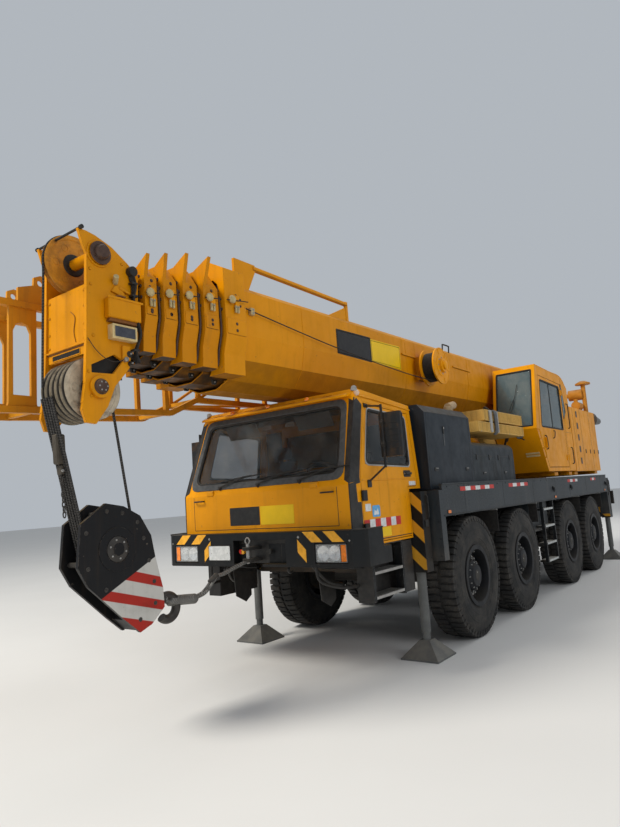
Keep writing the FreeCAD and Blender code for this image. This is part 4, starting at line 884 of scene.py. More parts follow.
def rim_mesh(a, steer):
    """rim seen from +y"""
    def rr(prof, key, n=64):
        a.lathe((0, 0, 0), (0, 1, 0), prof, key, n)
    rr([(-164, 346), (-178, 347), (-178, 296), (-150, 292), (-120, 300), (60, 300), (120, 292), (150, 292), (178, 296),
        (178.5, 345), (172, 349), (164, 346), (160, 318), (-160, 318), (-164, 346)], "rimpaint")
    # lock ring
    rr([(150, 330), (166, 338), (170, 330), (166, 318), (150, 318)], "rimpaint")
    # dished disc
    rr([(22, 301), (44, 299), (56, 270), (64, 220), (66, 150), (66, 62), (48, 62), (48, 200), (30, 270), (22, 301)], "rimpaint")
    for i in range(20):
        t = 2 * pi * i / 20
        p = (215 * sin(t), 63, 215 * cos(t))
        a.bolt(p, (0, 1, 0), 14.5, 26, "steel")
    for i in range(8):
        t = 2 * pi * (i + 0.5) / 8
        c = Vector((258 * sin(t), 0, 258 * cos(t)))
        a.lathe((c.x, 50, c.z), (0, 1, 0), [(8, 0), (8, 20), (12, 24), (14, 24), (14, 0)], "hazk", 14)
    # hub: planetary drum, cover with a ring of screws, centre cap
    if steer:
        rr([(62, 178), (104, 172), (118, 168), (124, 160), (140, 138), (148, 128), (160, 122), (163, 112), (163, 0)], "rimpaint", 40)
    else:
        rr([(62, 180), (112, 176), (122, 168), (128, 150), (150, 140), (158, 132), (162, 118), (163, 0)], "rimpaint", 40)
    for i in range(12):
        t = 2 * pi * i / 12
        a.bolt((146 * sin(t), 128, 146 * cos(t)), (0, 1, 0), 8, 14, "steel", False)
    rr([(160, 60), (165.5, 56), (165.5, 0)], "axle", 24)
    a.bolt((0, 160, 34), (0, 1, 0), 9, 6, "steel", False)
    # valve
    a.tube([(0, 60, 250), (8, 100, 262), (10, 140, 268), (12, 158, 270)], 6, "steel", 8, 3)


def wheels():
    meshes = {}
    for i, x in enumerate((-2250.0, -3900.0, -6350.0, -8000.0)):
        for s, side in SIDES:
            w = "wheel_%d_%s" % (i + 1, side)
            rot = (0.0 if s > 0 else pi)
            m = Matrix.Translation(C(x, s * 1132.5, 685.0)) @ Matrix.Rotation(rot, 4, "Z") @ \
                Matrix.Rotation((i % 2) * pi / 2, 4, "Y")
            key = i < 2
            if key not in meshes:
                a = Acc("tyre_and_rim_" + ("steered" if key else "fixed"))
                tyre_mesh(a)
                rim_mesh(a, key)
                ob = a.done(w, "wheel", 38.0, m)
                meshes[key] = ob.data
            else:
                ob = bpy.data.objects.new("x", meshes[key])
                bpy.context.scene.collection.objects.link(ob)
                ob.matrix_world = m
                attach(ob, w)
            ob.name = "tyre_and_rim_%d_%s" % (i + 1, side)
            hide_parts(w)


wheels()

# ------------------------------------------------------------------------------------- driver's cab
LEAN = 0.065                                          # sides lean in above the waist


def cab_y(z):
    return 1100.0 - max(0.0, z - 1800.0) * LEAN


def front_x(z):
    return -max(0.0, z - 1800.0) * 0.3468


def on_front(y, z, h=0.0):
    """point on the cab's front face, h mm proud of it"""
    if z <= 1800.0:
        return (h, y, z)
    return (front_x(z) + h * 0.945, y, z + h * 0.328)


def on_side(s):
    def put(x, z, h=0.0):
        return (x, s * (cab_y(z) + h), z)
    return put


WS = [(-985, 1900), (-925, 2600), (925, 2600), (985, 1900)]
WIN = [(-330, 1988), (-498, 2548), (-1262, 2505), (-1222, 1966)]
DOOR = [(-205, 1240), (-205, 1840), (-430, 2600), (-1335, 2548), (-1335, 1790), (-1300, 1750), (-1128, 1750), (-1128, 1240)]


def cab_trim():
    a = Acc("cab_outer_trim")
    # windscreen seal
    a.ring(rounded(grow(WS, 46), 110), rounded(grow(WS, -16), 95), on_front, -6, 9, "seal", 4)
    a.ring(rounded(grow(WS, -15), 95), rounded(grow(WS, -34), 85), on_front, -22, 1, "blackpl", 3)
    # black corner posts, front and side
    for s, _ in SIDES:
        a.slab([(s * 1042, 1845), (s * 1097, 1812), (s * 1045, 2608), (s * 982, 2640), (s * 990, 2600)], on_front, 2.2, "hazk")
        put = on_side(s)
        a.slab([(-14, 1812), (-194, 1835), (-196, 1870), (-410, 2582), (-330, 2640), (-285, 2610)], put, 2.2, "hazk")
        a.slab([(-4, 1232), (-196, 1232), (-196, 1838), (-4, 1806)], put, 1.6, "hazk")
        # edge roll where the two meet
        a.tube([(-2, s * 1099, 1240), (-2, s * 1099, 1800), (-292, s * (cab_y(2640) - 1), 2640)], 7, "hazk", 8, 1)
        # band above the door
        a.slab([(-440, 2612), (-1345, 2558), (-1392, 2555), (-1392, 2590), (-1345, 2593), (-400, 2652)], put, 2.0, "yellow")
        # gutter
        a.tube([put(-360, 2668, 6), put(-800, 2640, 8), put(-1396, 2590, 6)], 9, "yellow", 8, 3)
        # door frame seal
        for q0, q1 in ((0, 1), (1, 2), (2, 3), (3, 4)):
            (xa, za), (xb, zb) = DOOR[q0], DOOR[q1]
            if q0 == 2:
                a.tube([put(xa, za + 5, -8), put(xb, zb + 5, -8)], 6, "rubber", 6, 1)
        # marker lamp on the roof's front corner
        a.lathe((-352, s * 1010, 2724), (0.2, s * 0.3, 1), [(0, 0), (0, 34), (10, 34), (14, 30), (38, 24), (46, 12), (47, 0)], "greyp", 18)
        a.lathe((-340, s * 1046, 2690), (0.75, s * 0.7, 0.1), [(0, 0), (0, 30), (18, 30), (26, 26), (34, 12), (35, 0)], "lens_clear", 18)
        # grab rail inside the door opening's front edge
        a.tube([(-232, s * 1040, 1700), (-262, s * 1020, 1740), (-280, s * 1015, 1900), (-262, s * 1030, 1950)], 9, "blackpl", 8, 4)
    # roof visor
    a.prism([(-336, 2700), (-236, 2686), (-206, 2668), (-206, 2648), (-232, 2652), (-330, 2668)], "y", -996, 996, "yellow", 3)
    for y in (-760, -300, 300, 760):
        a.box(-300, -232, y - 60, y + 60, 2690, 2697, "white" if False else "yellow", 2)
    for y in (-520, 0, 520):
        a.lathe((-228, y, 2690), (0.6, 0, 1), [(0, 0), (0, 26), (14, 25), (24, 16), (26, 0)], "lens_amber", 14)
    # roof beads and hatch
    for y in (-720, -440, 440, 720):
        a.prism([(-480, 2722), (-1340, 2645), (-1340, 2636), (-480, 2713)], "y", y - 34, y + 34, "yellow", 3)
    rf = lambda u, v, h=0.0: (u, v, 2740 + (u + 350) * 0.0952 + h)
    a.slab(rounded([(-620, -280), (-620, 280), (-1180, 280), (-1180, -280)], 50), rf, 34, "yellow", 6)
    a.ring(rounded(grow([(-620, -280), (-620, 280), (-1180, 280), (-1180, -280)], 22), 60),
           rounded(grow([(-620, -280), (-620, 280), (-1180, 280), (-1180, -280)], 2), 50), rf, 0, 12, "rubber", 2)
    # front panel: hatch lines, hinges, blank decals
    for z in (1432, 1868):
        a.box(-1, 1.2, -960, 960, z - 3, z + 3, "hazk", 0.4) if z < 1800 else None
    for y in (-700, 700):
        a.prism([(0, 1790), (9, 1800), (9, 1836), (-10, 1852), (-14, 1800)], "y", y - 45, y + 45, "yellow", 2)
    for y in (-960, 960):
        a.box(-1, 1.2, y - 3, y + 3, 1432, 1790, "hazk", 0.4)
    a.slab(rounded([(-420, 1470), (-5, 1470), (-5, 1655), (-420, 1655)], 6, 2), on_front, 1.8, "decal_black", 0.4)
    a.slab(rounded([(8, 1470), (440, 1470), (440, 1655), (8, 1655)], 6, 2), on_front, 1.8, "decal_yellow", 0.4)
    # small grab handles on the front panel
    for y in (-860, 860):
        a.tube([(2, y - 60, 1745), (34, y - 58, 1745), (36, y + 58, 1745), (2, y + 60, 1745)], 8, "blackpl", 8, 4)
    # wipers: spindles, arms, blades
    for y0, d in ((-560, 1), (-20, 1), (520, 1)):
        zs = 1868.0
        a.lathe(on_front(y0, zs, 0), (0.945, 0, 0.328), [(0, 0), (0, 24), (10, 24), (26, 16), (34, 14), (34, 0)], "blackpl", 16)
        p0, p1 = on_front(y0, zs, 30), on_front(y0 + d * 330, zs + 96, 22)
        a.bar(p0, p1, 18, 9, "blackpl", (0.945, 0, 0.328))
        b0, b1 = on_front(y0 + d * 330 - 330, zs + 62, 15), on_front(y0 + d * 330 + 240, zs + 110, 15)
        a.bar(b0, b1, 9, 16, "blackpl", (0.945, 0, 0.328), 1)
        a.bar(on_front(y0 + d * 330 - 190, zs + 78, 20), on_front(y0 + d * 330 + 110, zs + 104, 20), 12, 8, "blackpl", (0.945, 0, 0.328), 1)
    # step wells below the doors
    for s, _ in SIDES:
        a.box(-900, -300, s * 912, s * 922, 690, 1219, "hazk", 2)
        a.box(-300.5, -294, s * 915, s * 1096, 690, 1219, "hazk", 1)
        a.box(-906, -899.5, s * 915, s * 1096, 690, 1219, "hazk", 1)
        a.box(-1100, -900, s * 1086, s * 1094, 700, 1219, "hazk", 2)
        a.box(-1100, -300, s * 912, s * 1094, 1206, 1219, "hazk", 2)
        for z in (745, 970):
            a.box(-868, -332, s * 1088, s * 1099, z - 24, z + 2.5, "steel", 1.5)
            for k2 in range(9):
                a.box(-860 + k2 * 60, -820 + k2 * 60, s * 940, s * 1080, z, z + 3, "steel", 1)
    # rear wall: window seal, ribs, vent
    rw = lambda u, v, h=0.0: (-1400 - h, u, v)
    R = [(-700, 2060), (-700, 2480), (700, 2480), (700, 2060)]
    a.ring(rounded(grow(R, 24), 60), rounded(grow(R, -12), 50), rw, -6, 7, "rubber", 3)
    for z in (1790, 1850, 1910):
        a.box(-1406, -1398, -900, 900, z, z + 22, "yellow", 3)
    a.done("carrier", "crane_yellow")


def cab_inside():
    """what shows through the panes: shelf, sun visors, column controls, papers on the dash"""
    a = Acc("cab_inner_trim")
    a.prism([(-350, 2640), (-420, 2660), (-700, 2630), (-700, 2560), (-560, 2560)], "y", -960, 960, "dash", 8)
    for y in (-520, 480):
        a.prism([(-330, 2560), (-342, 2566), (-420, 2420), (-410, 2412)], "y", y - 230, y + 230, "greydark", 4)
    for y in (-180, 140):
        a.box(-402, -396, y - 60, y + 60, 2472, 2520, "lens_clear", 2)
    # instrument binnacle and switches
    a.prism([(-110, 1828), (-180, 1960), (-300, 1970), (-352, 1830)], "y", 290, 760, "dash", 10)
    for y in (400, 520, 640):
        a.lathe((-318, y, 1915), (-0.94, 0, 0.34), [(0, 0), (0, 44), (9, 46), (13, 40), (8, 38), (6, 0)], "hazk", 20)
        a.lathe((-325, y, 1917), (-0.94, 0, 0.34), [(0, 36), (1, 36), (1.2, 0)], "white", 20)
    a.prism([(-130, 1829), (-150, 1858), (-330, 1856), (-345, 1829)], "y", -900, 200, "dash", 8)
    # things left on the shelf: folded cloth and sheets of paper
    random.seed(4)
    for i in range(7):
        y = 560 + i * 52
        z = 1868 + random.uniform(0, 26)
        a.block((-150 - random.uniform(0, 60), y, z), ((58, 8 * (i % 3 - 1), 0), (-9, 66, 6 * (i % 2)), (0, -3, 3)),
                ("white", "greyp", "red", "white", "dispblue", "white", "greyp")[i], 1)
    for i in range(5):
        a.block((-190, 120 + i * 62, 1868 + 6 * (i % 2)), ((50, 6, 6), (-8, 40, 9 - 6 * (i % 3)), (-2, -6, 16)),
                ("red", "white", "red", "greyp", "red")[i], 7)
    # rear wall lining with its window frame, floor mat, centre console
    a.box(-1352, -1340, -1010, -760, 1800, 2560, "dash", 4)
    a.box(-1352, -1340, 760, 1010, 1800, 2560, "dash", 4)
    a.box(-1352, -1340, -760, 760, 1300, 2030, "dash", 4)
    a.box(-1080, -420, -1000, 1000, 1266, 1276, "rubber", 3)
    a.prism([(-420, 1276), (-420, 1640), (-520, 1700), (-980, 1700), (-980, 1276)], "y", -170, 170, "dash", 14)
    a.tube([(-600, 60, 1700), (-590, 62, 1850), (-560, 66, 1960)], 9, "blackpl", 8, 3)
    a.lathe((-560, 66, 1950), (0.1, 0, 1), [(0, 0), (2, 22), (18, 30), (36, 24), (44, 0)], "hazk", 14)
    a.tube([(-700, -60, 1700), (-690, -62, 1780), (-660, -66, 1850)], 8, "blackpl", 8, 3)
    # pedals
    for y in (360, 500, 640):
        a.block((-185, y, 1370), ((10, 0, 26), (0, 38, 0), (-5, 0, 2)), "rubber", 3)
        a.bar((-180, y, 1400), (-110, y, 1520), 14, 14, "blackpl")
    a.done("carrier", "dash_plastic")


def doors():
    for s, side in SIDES:
        put = on_side(s)
        b = "door_" + side
        a = Acc("cab_door_fittings_" + side)
        a.ring(rounded(grow(WIN, 13), 66), rounded(grow(WIN, -1), 58), put, -5, 4, "greyp", 2)
        a.ring(rounded(grow(WIN, 1), 58), rounded(grow(WIN, -24), 44), put, -24, 3, "rubber", 3)
        a.slab(rounded([(-1150, 1762), (-1292, 1762), (-1292, 1806), (-1150, 1806)], 8, 2), put, 4, "white")
        # pressed swage lines
        a.slab([(-215, 1826), (-1325, 1826), (-1325, 1840), (-218, 1840)], put, 4, "yellow", 2)
        a.slab([(-215, 1400 - 130), (-1118, 1270), (-1118, 1262), (-215, 1262)], put, 3, "hazk", 1)
        a.slab([(-215, 1247), (-1118, 1247), (-1118, 1256), (-215, 1256)], put, 5, "yellow", 1)
        # handle with its recess
        a.slab(rounded([(-1060, 1852), (-1215, 1852), (-1215, 1922), (-1060, 1922)], 18), put, 2.5, "hazk")
        a.prism([(-1075, 1876), (-1200, 1876), (-1204, 1900), (-1071, 1900)], "y", s * 1108, s * 1122, "blackpl", 4)
        a.lathe((-1080, s * 1096, 1888), (0, s, 0), [(0, 9), (14, 9), (14, 0)], "steel", 12)
        # inner lining
        a.slab(rounded([(-250, 1290), (-250, 1800), (-1090, 1800), (-1090, 1290)], 40), lambda u, v, h=0.0: (u, s * (1056 - h), v), 10, "dash", 4)
        a.box(-960, -560, s * 1000, s * 1046, 1640, 1690, "blackpl", 10)
        # stickers, all blank
        a.slab(rounded([(-250, 1540), (-350, 1540), (-350, 1610), (-250, 1610)], 8, 2), put, 1.5, "white", 0.4)
        a.slab(rounded([(-370, 1480), (-515, 1480), (-515, 1590), (-370, 1590)], 20, 3), put, 1.5, "blue", 0.4)
        a.slab([(-395, 1500), (-490, 1500), (-470, 1560), (-440, 1530), (-410, 1552)], put, 2.0, "white", 0.3)
        n = 7
        for i in range(n):
            x0 = -212 - i * 100
            a.slab([(x0, 1378), (x0 - 98, 1378), (x0 - 98, 1462), (x0, 1462)], put, 1.4, "red" if i % 2 == 0 else "white", 0.3)
        a.slab([(-235, 1282), (-446, 1282), (-446, 1372), (-235, 1372)], put, 1.6, "decal_black", 0.4)
        a.slab([(-470, 1282), (-700, 1282), (-700, 1372), (-470, 1372)], put, 1.6, "decal_yellow", 0.4)
        # mirror: glass, rim, clamps, curved arm down to the bracket on the door
        a.box(-500.5, -505, s * 1224, s * 1428, 2058, 2452, "mirror", 1.5)
        a.ring(rounded([(s * 1212, 2044), (s * 1440, 2044), (s * 1440, 2466), (s * 1212, 2466)], 30),
               rounded([(s * 1224, 2058), (s * 1428, 2058), (s * 1428, 2452), (s * 1224, 2452)], 22),
               lambda u, v, h=0.0: (-500 - h, u, v), -4, 8, "blackpl", 2)
        a.box(-388, -322, s * 1094, s * 1112, 1764, 1836, "blackpl", 4)
        a.box(-508, -440, s * 1030, s * 1062, 2552, 2590, "blackpl", 4)
        for z in (2160, 2370):
            a.lathe((-413, s * 1246, z), (0, s, 0), [(0, 0), (0, 22), (34, 22), (34, 0)], "blackpl", 14)
            a.box(-426, -398, s * 1250, s * 1276, z - 34, z + 34, "blackpl", 5)
        for k2 in range(5):
            a.box(-424.5, -422, s * 1300, s * 1420, 2120 + 60 * k2, 2124 + 60 * k2, "hazk", 0.5)
        a.done(b, "black_paint")
        # pane
        g = Acc("cab_door_pane_" + side)
        g.slab(rounded(grow(WIN, -1), 44), lambda u, v, h=0.0: (u, s * (cab_y(v) - 20 + h), v), 5, "glass", 0.5)
        g.done(b, "clear_glass")


def bumper_parts():
    a = Acc("bumper_fittings")
    # slanting warning bars on the top band, both ends
    for s, _ in SIDES:
        for y in (636, 872):
            a.slab([(s * y, 1397), (s * (y + 128), 1397), (s * (y + 232), 1300), (s * (y + 104), 1300)],
                   lambda u, v, h=0.0: (150 + h, u, v), 1.4, "hazy", 0.3)
        # bars beside the recess
        a.slab([(s * 575, 1330), (s * 672, 1235), (s * 672, 1115), (s * 575, 1210)], lambda u, v, h=0.0: (150 + h, u, v), 1.4, "hazy", 0.3)
        # bolts, rubber edge
        for z in (1350,):
            a.bolt((151, s * 590, z), (1, 0, 0), 9, 8, "steel")
            a.bolt((151, s * 1160, 1310), (1, 0, 0), 7, 6, "steel")
        a.tube([(-192, s * 1302, 1402), (58, s * 1302, 1402), (150, s * 1182, 1402)], 7, "rubber", 8, 1)
        # lower corner skirt
        a.prism([(146, 1078), (146, 1100), (60, 1100), (20, 1078)], "y", s * 640, s * 1170, "hazk", 3)
    # centre panel lines, plate carrier and the blank plate
    a.box(60, 64, -250, 430, 1102, 1328, "hazk", 1)
    a.slab(rounded([(-605, 1130), (-290, 1130), (-290, 1285), (-605, 1285)], 10, 2), lambda u, v, h=0.0: (151 + h, u, v), 4, "hazk", 1)
    a.slab(rounded([(-597, 1137), (-298, 1137), (-298, 1278), (-597, 1278)], 8, 2), lambda u, v, h=0.0: (155 + h, u, v), 2, "white", 0.6)
    for y in (-560, -335):
        a.bolt((156.5, y, 1207), (1, 0, 0), 5, 4, "steel", False)
    for y0, y1 in ((-248, -140), (150, 300), (310, 428)):
        a.slab([(y0, 1106), (y1, 1106), (y1, 1286), (y0, 1286)], lambda u, v, h=0.0: (64 + h, u, v), 3, "black", 1.2)
    # tow pin with its handle, and the small chain
    a.cyl((207, 0, 1112), (207, 0, 1300), 18, "steel", 18, 4)
    a.tube([(207, 0, 1296), (207, 30, 1330), (207, 0, 1362), (207, -30, 1330)], 7, "steel", 8, 5, True)
    # step rung between bumper and cab, hose couplings beside the clevis
    for y, k in ((-190, "red"), (-165, "hazy"), (190, "blackpl")):
        a.lathe((62, y, 1215), (1, 0, 0), [(0, 0), (0, 17), (26, 17), (30, 24), (46, 24), (50, 16), (50, 0)], k, 16)
    # towing eyes below
    for s, _ in SIDES:
        a.tube([(60, s * 420, 1092), (100, s * 420, 1062), (118, s * 420, 1040), (90, s * 420, 1018), (50, s * 420, 1030)], 12, "hazk", 10, 5)
        # braces of the apron and the step frame under it
        a.tube([(-30, s * 560, 1100), (-200, s * 640, 900), (-360, s * 700, 850)], 17, "hazk", 10, 4)
        a.tube([(40, s * 690, 1085), (20, s * 720, 930), (-110, s * 860, 860), (-300, s * 930, 850)], 15, "hazk", 10, 5)
        a.prism([(-150, 1000), (-420, 960), (-420, 700), (-330, 640), (-180, 720)], "y", s * 560, s * 572, "hazk", 3)
    a.done("carrier", "black_paint")


def front_lamps():
    """headlamps and tail lamps, in place of the plain blocks"""
    a = Acc("lamps_detailed")
    for s, _ in SIDES:
        y0, y1 = s * 778, s * 1122
        # housing: back and rim
        a.box(112.5, 118, y0, y1, 1117, 1283, "hazk", 1)
        a.ring(rounded([(y0, 1117), (y1, 1117), (y1, 1283), (y0, 1283)], 14), rounded(grow([(y0, 1117), (y1, 1117), (y1, 1283), (y0, 1283)], -9), 10),
               lambda u, v, h=0.0: (118 + h, u, v), 0, 29, "greydark", 1.5)
        for yc, r in ((s * 860, 66), (s * 986, 66)):
            a.lathe((119, yc, 1200), (1, 0, 0), [(0, 0), (2, 14), (5, 30), (12, 50), (20, r), (20, r + 2), (0, r + 2)], "reflector", 28)
            a.lathe((121, yc, 1200), (1, 0, 0), [(0, 9), (14, 9), (16, 6), (16, 0)], "lens_clear", 12)
        a.box(122, 147, s * 1054, s * 1113, 1126, 1274, "lens_amber", 5)
        a.box(119, 147, s * 1048, s * 1053, 1126, 1274, "greydark", 1)
        a.box(142, 147, s * 787, s * 1047, 1126, 1274, "lens_clear", 2)
        # tail lamp
        X = -10330.0
        a.box(X - 14, X - 0.4, s * 861, s * 1229, 1191, 1329, "hazk", 2)
        for y0, y1, k in ((866, 960, "lens_clear"), (964, 1090, "lens_red"), (1094, 1224, "lens_amber")):
            a.box(X - 31, X - 13, s * y0, s * y1, 1197, 1323, k, 4)
    ob = a.done("carrier", "lamp_lens")
    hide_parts("lamps")


def pad(name, body, node_first, boxmm, crown, key, lean=0.0, chan=2):
    """crowned cushion inside a box, with sewn channels; lean moves its top backwards"""
    x0, x1, y0, y1, z0, z1 = boxmm
    b = bmesh.new()
    bmesh.ops.create_cube(b, size=1.0)
    bmesh.ops.subdivide_edges(b, edges=b.edges[:], cuts=13, use_grid_fill=True)
    w = (x1 - x0, y1 - y0, z1 - z0)
    thin = min(range(3), key=lambda i: w[i])
    for v in b.verts:
        p = [v.co.x * 2, v.co.y * 2, v.co.z * 2]
        # squircle outline across the two long directions
        o = [i for i in range(3) if i != thin]
        u, t = p[o[0]], p[o[1]]
        e = 1.0 - 0.10 * (abs(u) ** 6) * (abs(t) ** 6)
        p[o[0]], p[o[1]] = u * e, t * e
        f = (1.0 - abs(u) ** 3.2) * (1.0 - abs(t) ** 3.2)
        puff = (1.0 - crown) + crown * (max(0.0, f) ** 0.55)
        # channels
        seam = 1.0
        if abs(p[thin]) > 0.5:
            for c in range(1, chan + 1):
                q = -1.0 + 2.0 * c / (chan + 1)
                seam = min(seam, 1.0 - 0.16 * (2.718 ** (-((t - q) / 0.045) ** 2)))
            seam = min(seam, 1.0 - 0.10 * (2.718 ** (-((abs(u) - 0.80) / 0.05) ** 2)))
        p[thin] = p[thin] * puff * seam
        v.co = Vector((x0 + (p[0] + 1) / 2 * w[0], y0 + (p[1] + 1) / 2 * w[1], z0 + (p[2] + 1) / 2 * w[2]))
        v.co.x -= lean * (v.co.z - z0)
        v.co = Vector(C(*v.co))
    me = bpy.data.meshes.new(name)
    b.to_mesh(me)
    b.free()
    me.materials.append(MAT[key])
    me.polygons.foreach_set("use_smooth", [True] * len(me.polygons))
    ob = bpy.data.objects.new(name, me)
    bpy.context.scene.collection.objects.link(ob)
    md = ob.modifiers.new("sub", "SUBSURF")
    md.levels = md.render_levels = 1
    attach(ob, body)
    return ob


def seats():
    for nm, y in (("driver", 520), ("passenger", -520)):
        pad("seat_cushion_" + nm, "carrier", None, (-1038, -534, y - 236, y + 236, 1604, 1718), 0.45, "cloth")
        pad("seat_back_" + nm, "carrier", None, (-1010, -940, y - 221, y + 221, 1722, 2150), 0.45, "cloth", 0.16)
        pad("seat_headrest_" + nm, "carrier", None, (-1076, -1010, y - 140, y + 140, 2180, 2326), 0.5, "cloth", 0.1, 1)
    a = Acc("cab_seat_frames")
    for y in (520, -520):
        a.box(-1020, -560, y - 200, y + 200, 1268, 1310, "hazk", 6)
        a.prism([(-980, 1310), (-600, 1310), (-620, 1480), (-960, 1480)], "y", y - 170, y + 170, "rubber", 10)
        for i in range(5):
            a.box(-985 + i, -595 - i, y - 178, y + 178, 1320 + i * 32, 1336 + i * 32, "rubber", 5)
        a.box(-1030, -545, y - 225, y + 225, 1480, 1603, "blackpl", 14)
        a.prism([(-1012, 1722), (-1066, 2160), (-1083, 2160), (-1036, 1722)], "y", y - 200, y + 200, "blackpl", 5)
        for d in (-60, 60):
            a.cyl((-1060, y + d, 2140), (-1052, y + d, 2200), 6, "steel", 8)
        a.lathe((-600, y + (226 if y > 0 else -226), 1560), (0, 1 if y > 0 else -1, 0), [(0, 0), (0, 26), (10, 24), (10, 0)], "hazk", 14)
    ob = a.done("carrier", "black_paint")
    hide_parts("cab_seats")
    pad("crane_seat_cushion", "upper", None, (-6926, -6414, 674, 1096, 2284, 2398), 0.45, "cloth")
    pad("crane_seat_back", "upper", None, (-6915, -6838, 694, 1076, 2402, 2920), 0.45, "cloth", 0.12)
    pad("crane_seat_headrest", "upper", None, (-6990, -6926, 750, 1020, 2960, 3112), 0.5, "cloth", 0.1, 1)
    a = Acc("crane_seat_frame")
    a.prism([(-6880, 1905), (-6470, 1905), (-6520, 2200), (-6840, 2200)], "y", 700, 1070, "rubber", 12)
    a.box(-6900, -6440, 684, 1086, 2200, 2283, "blackpl", 14)
    a.prism([(-6900, 2402), (-6975, 2950), (-6990, 2950), (-6925, 2402)], "y", 720, 1050, "blackpl", 5)
    for y in (664, 1070):
        a.box(-6860, -6480, y, y + 34, 2500, 2560, "blackpl", 10)
        a.box(-6560, -6470, y - 8, y + 42, 2555, 2580, "dash", 8)
        a.tube([(-6510, y + 17, 2575), (-6505, y + 17, 2640), (-6495, y + 17, 2700)], 9, "hazk", 8, 3)
        a.lathe((-6495, y + 17, 2690), (0.1, 0, 1), [(0, 0), (4, 18), (30, 22), (52, 17), (58, 0)], "hazk", 14)
    # console with screen
    a.prism([(-6248, 1905), (-6104, 1905), (-6104, 2300), (-6150, 2348), (-6248, 2250)], "y", 622, 1148, "dash", 10)
    a.prism([(-6210, 2330), (-6110, 2400), (-6106, 2620), (-6134, 2640), (-6160, 2430)], "y", 640, 860, "blackpl", 6)
    ob = a.done("upper", "black_paint")
    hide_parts("crane_seat")


cab_trim()
cab_inside()
doors()
bumper_parts()
front_lamps()
seats()
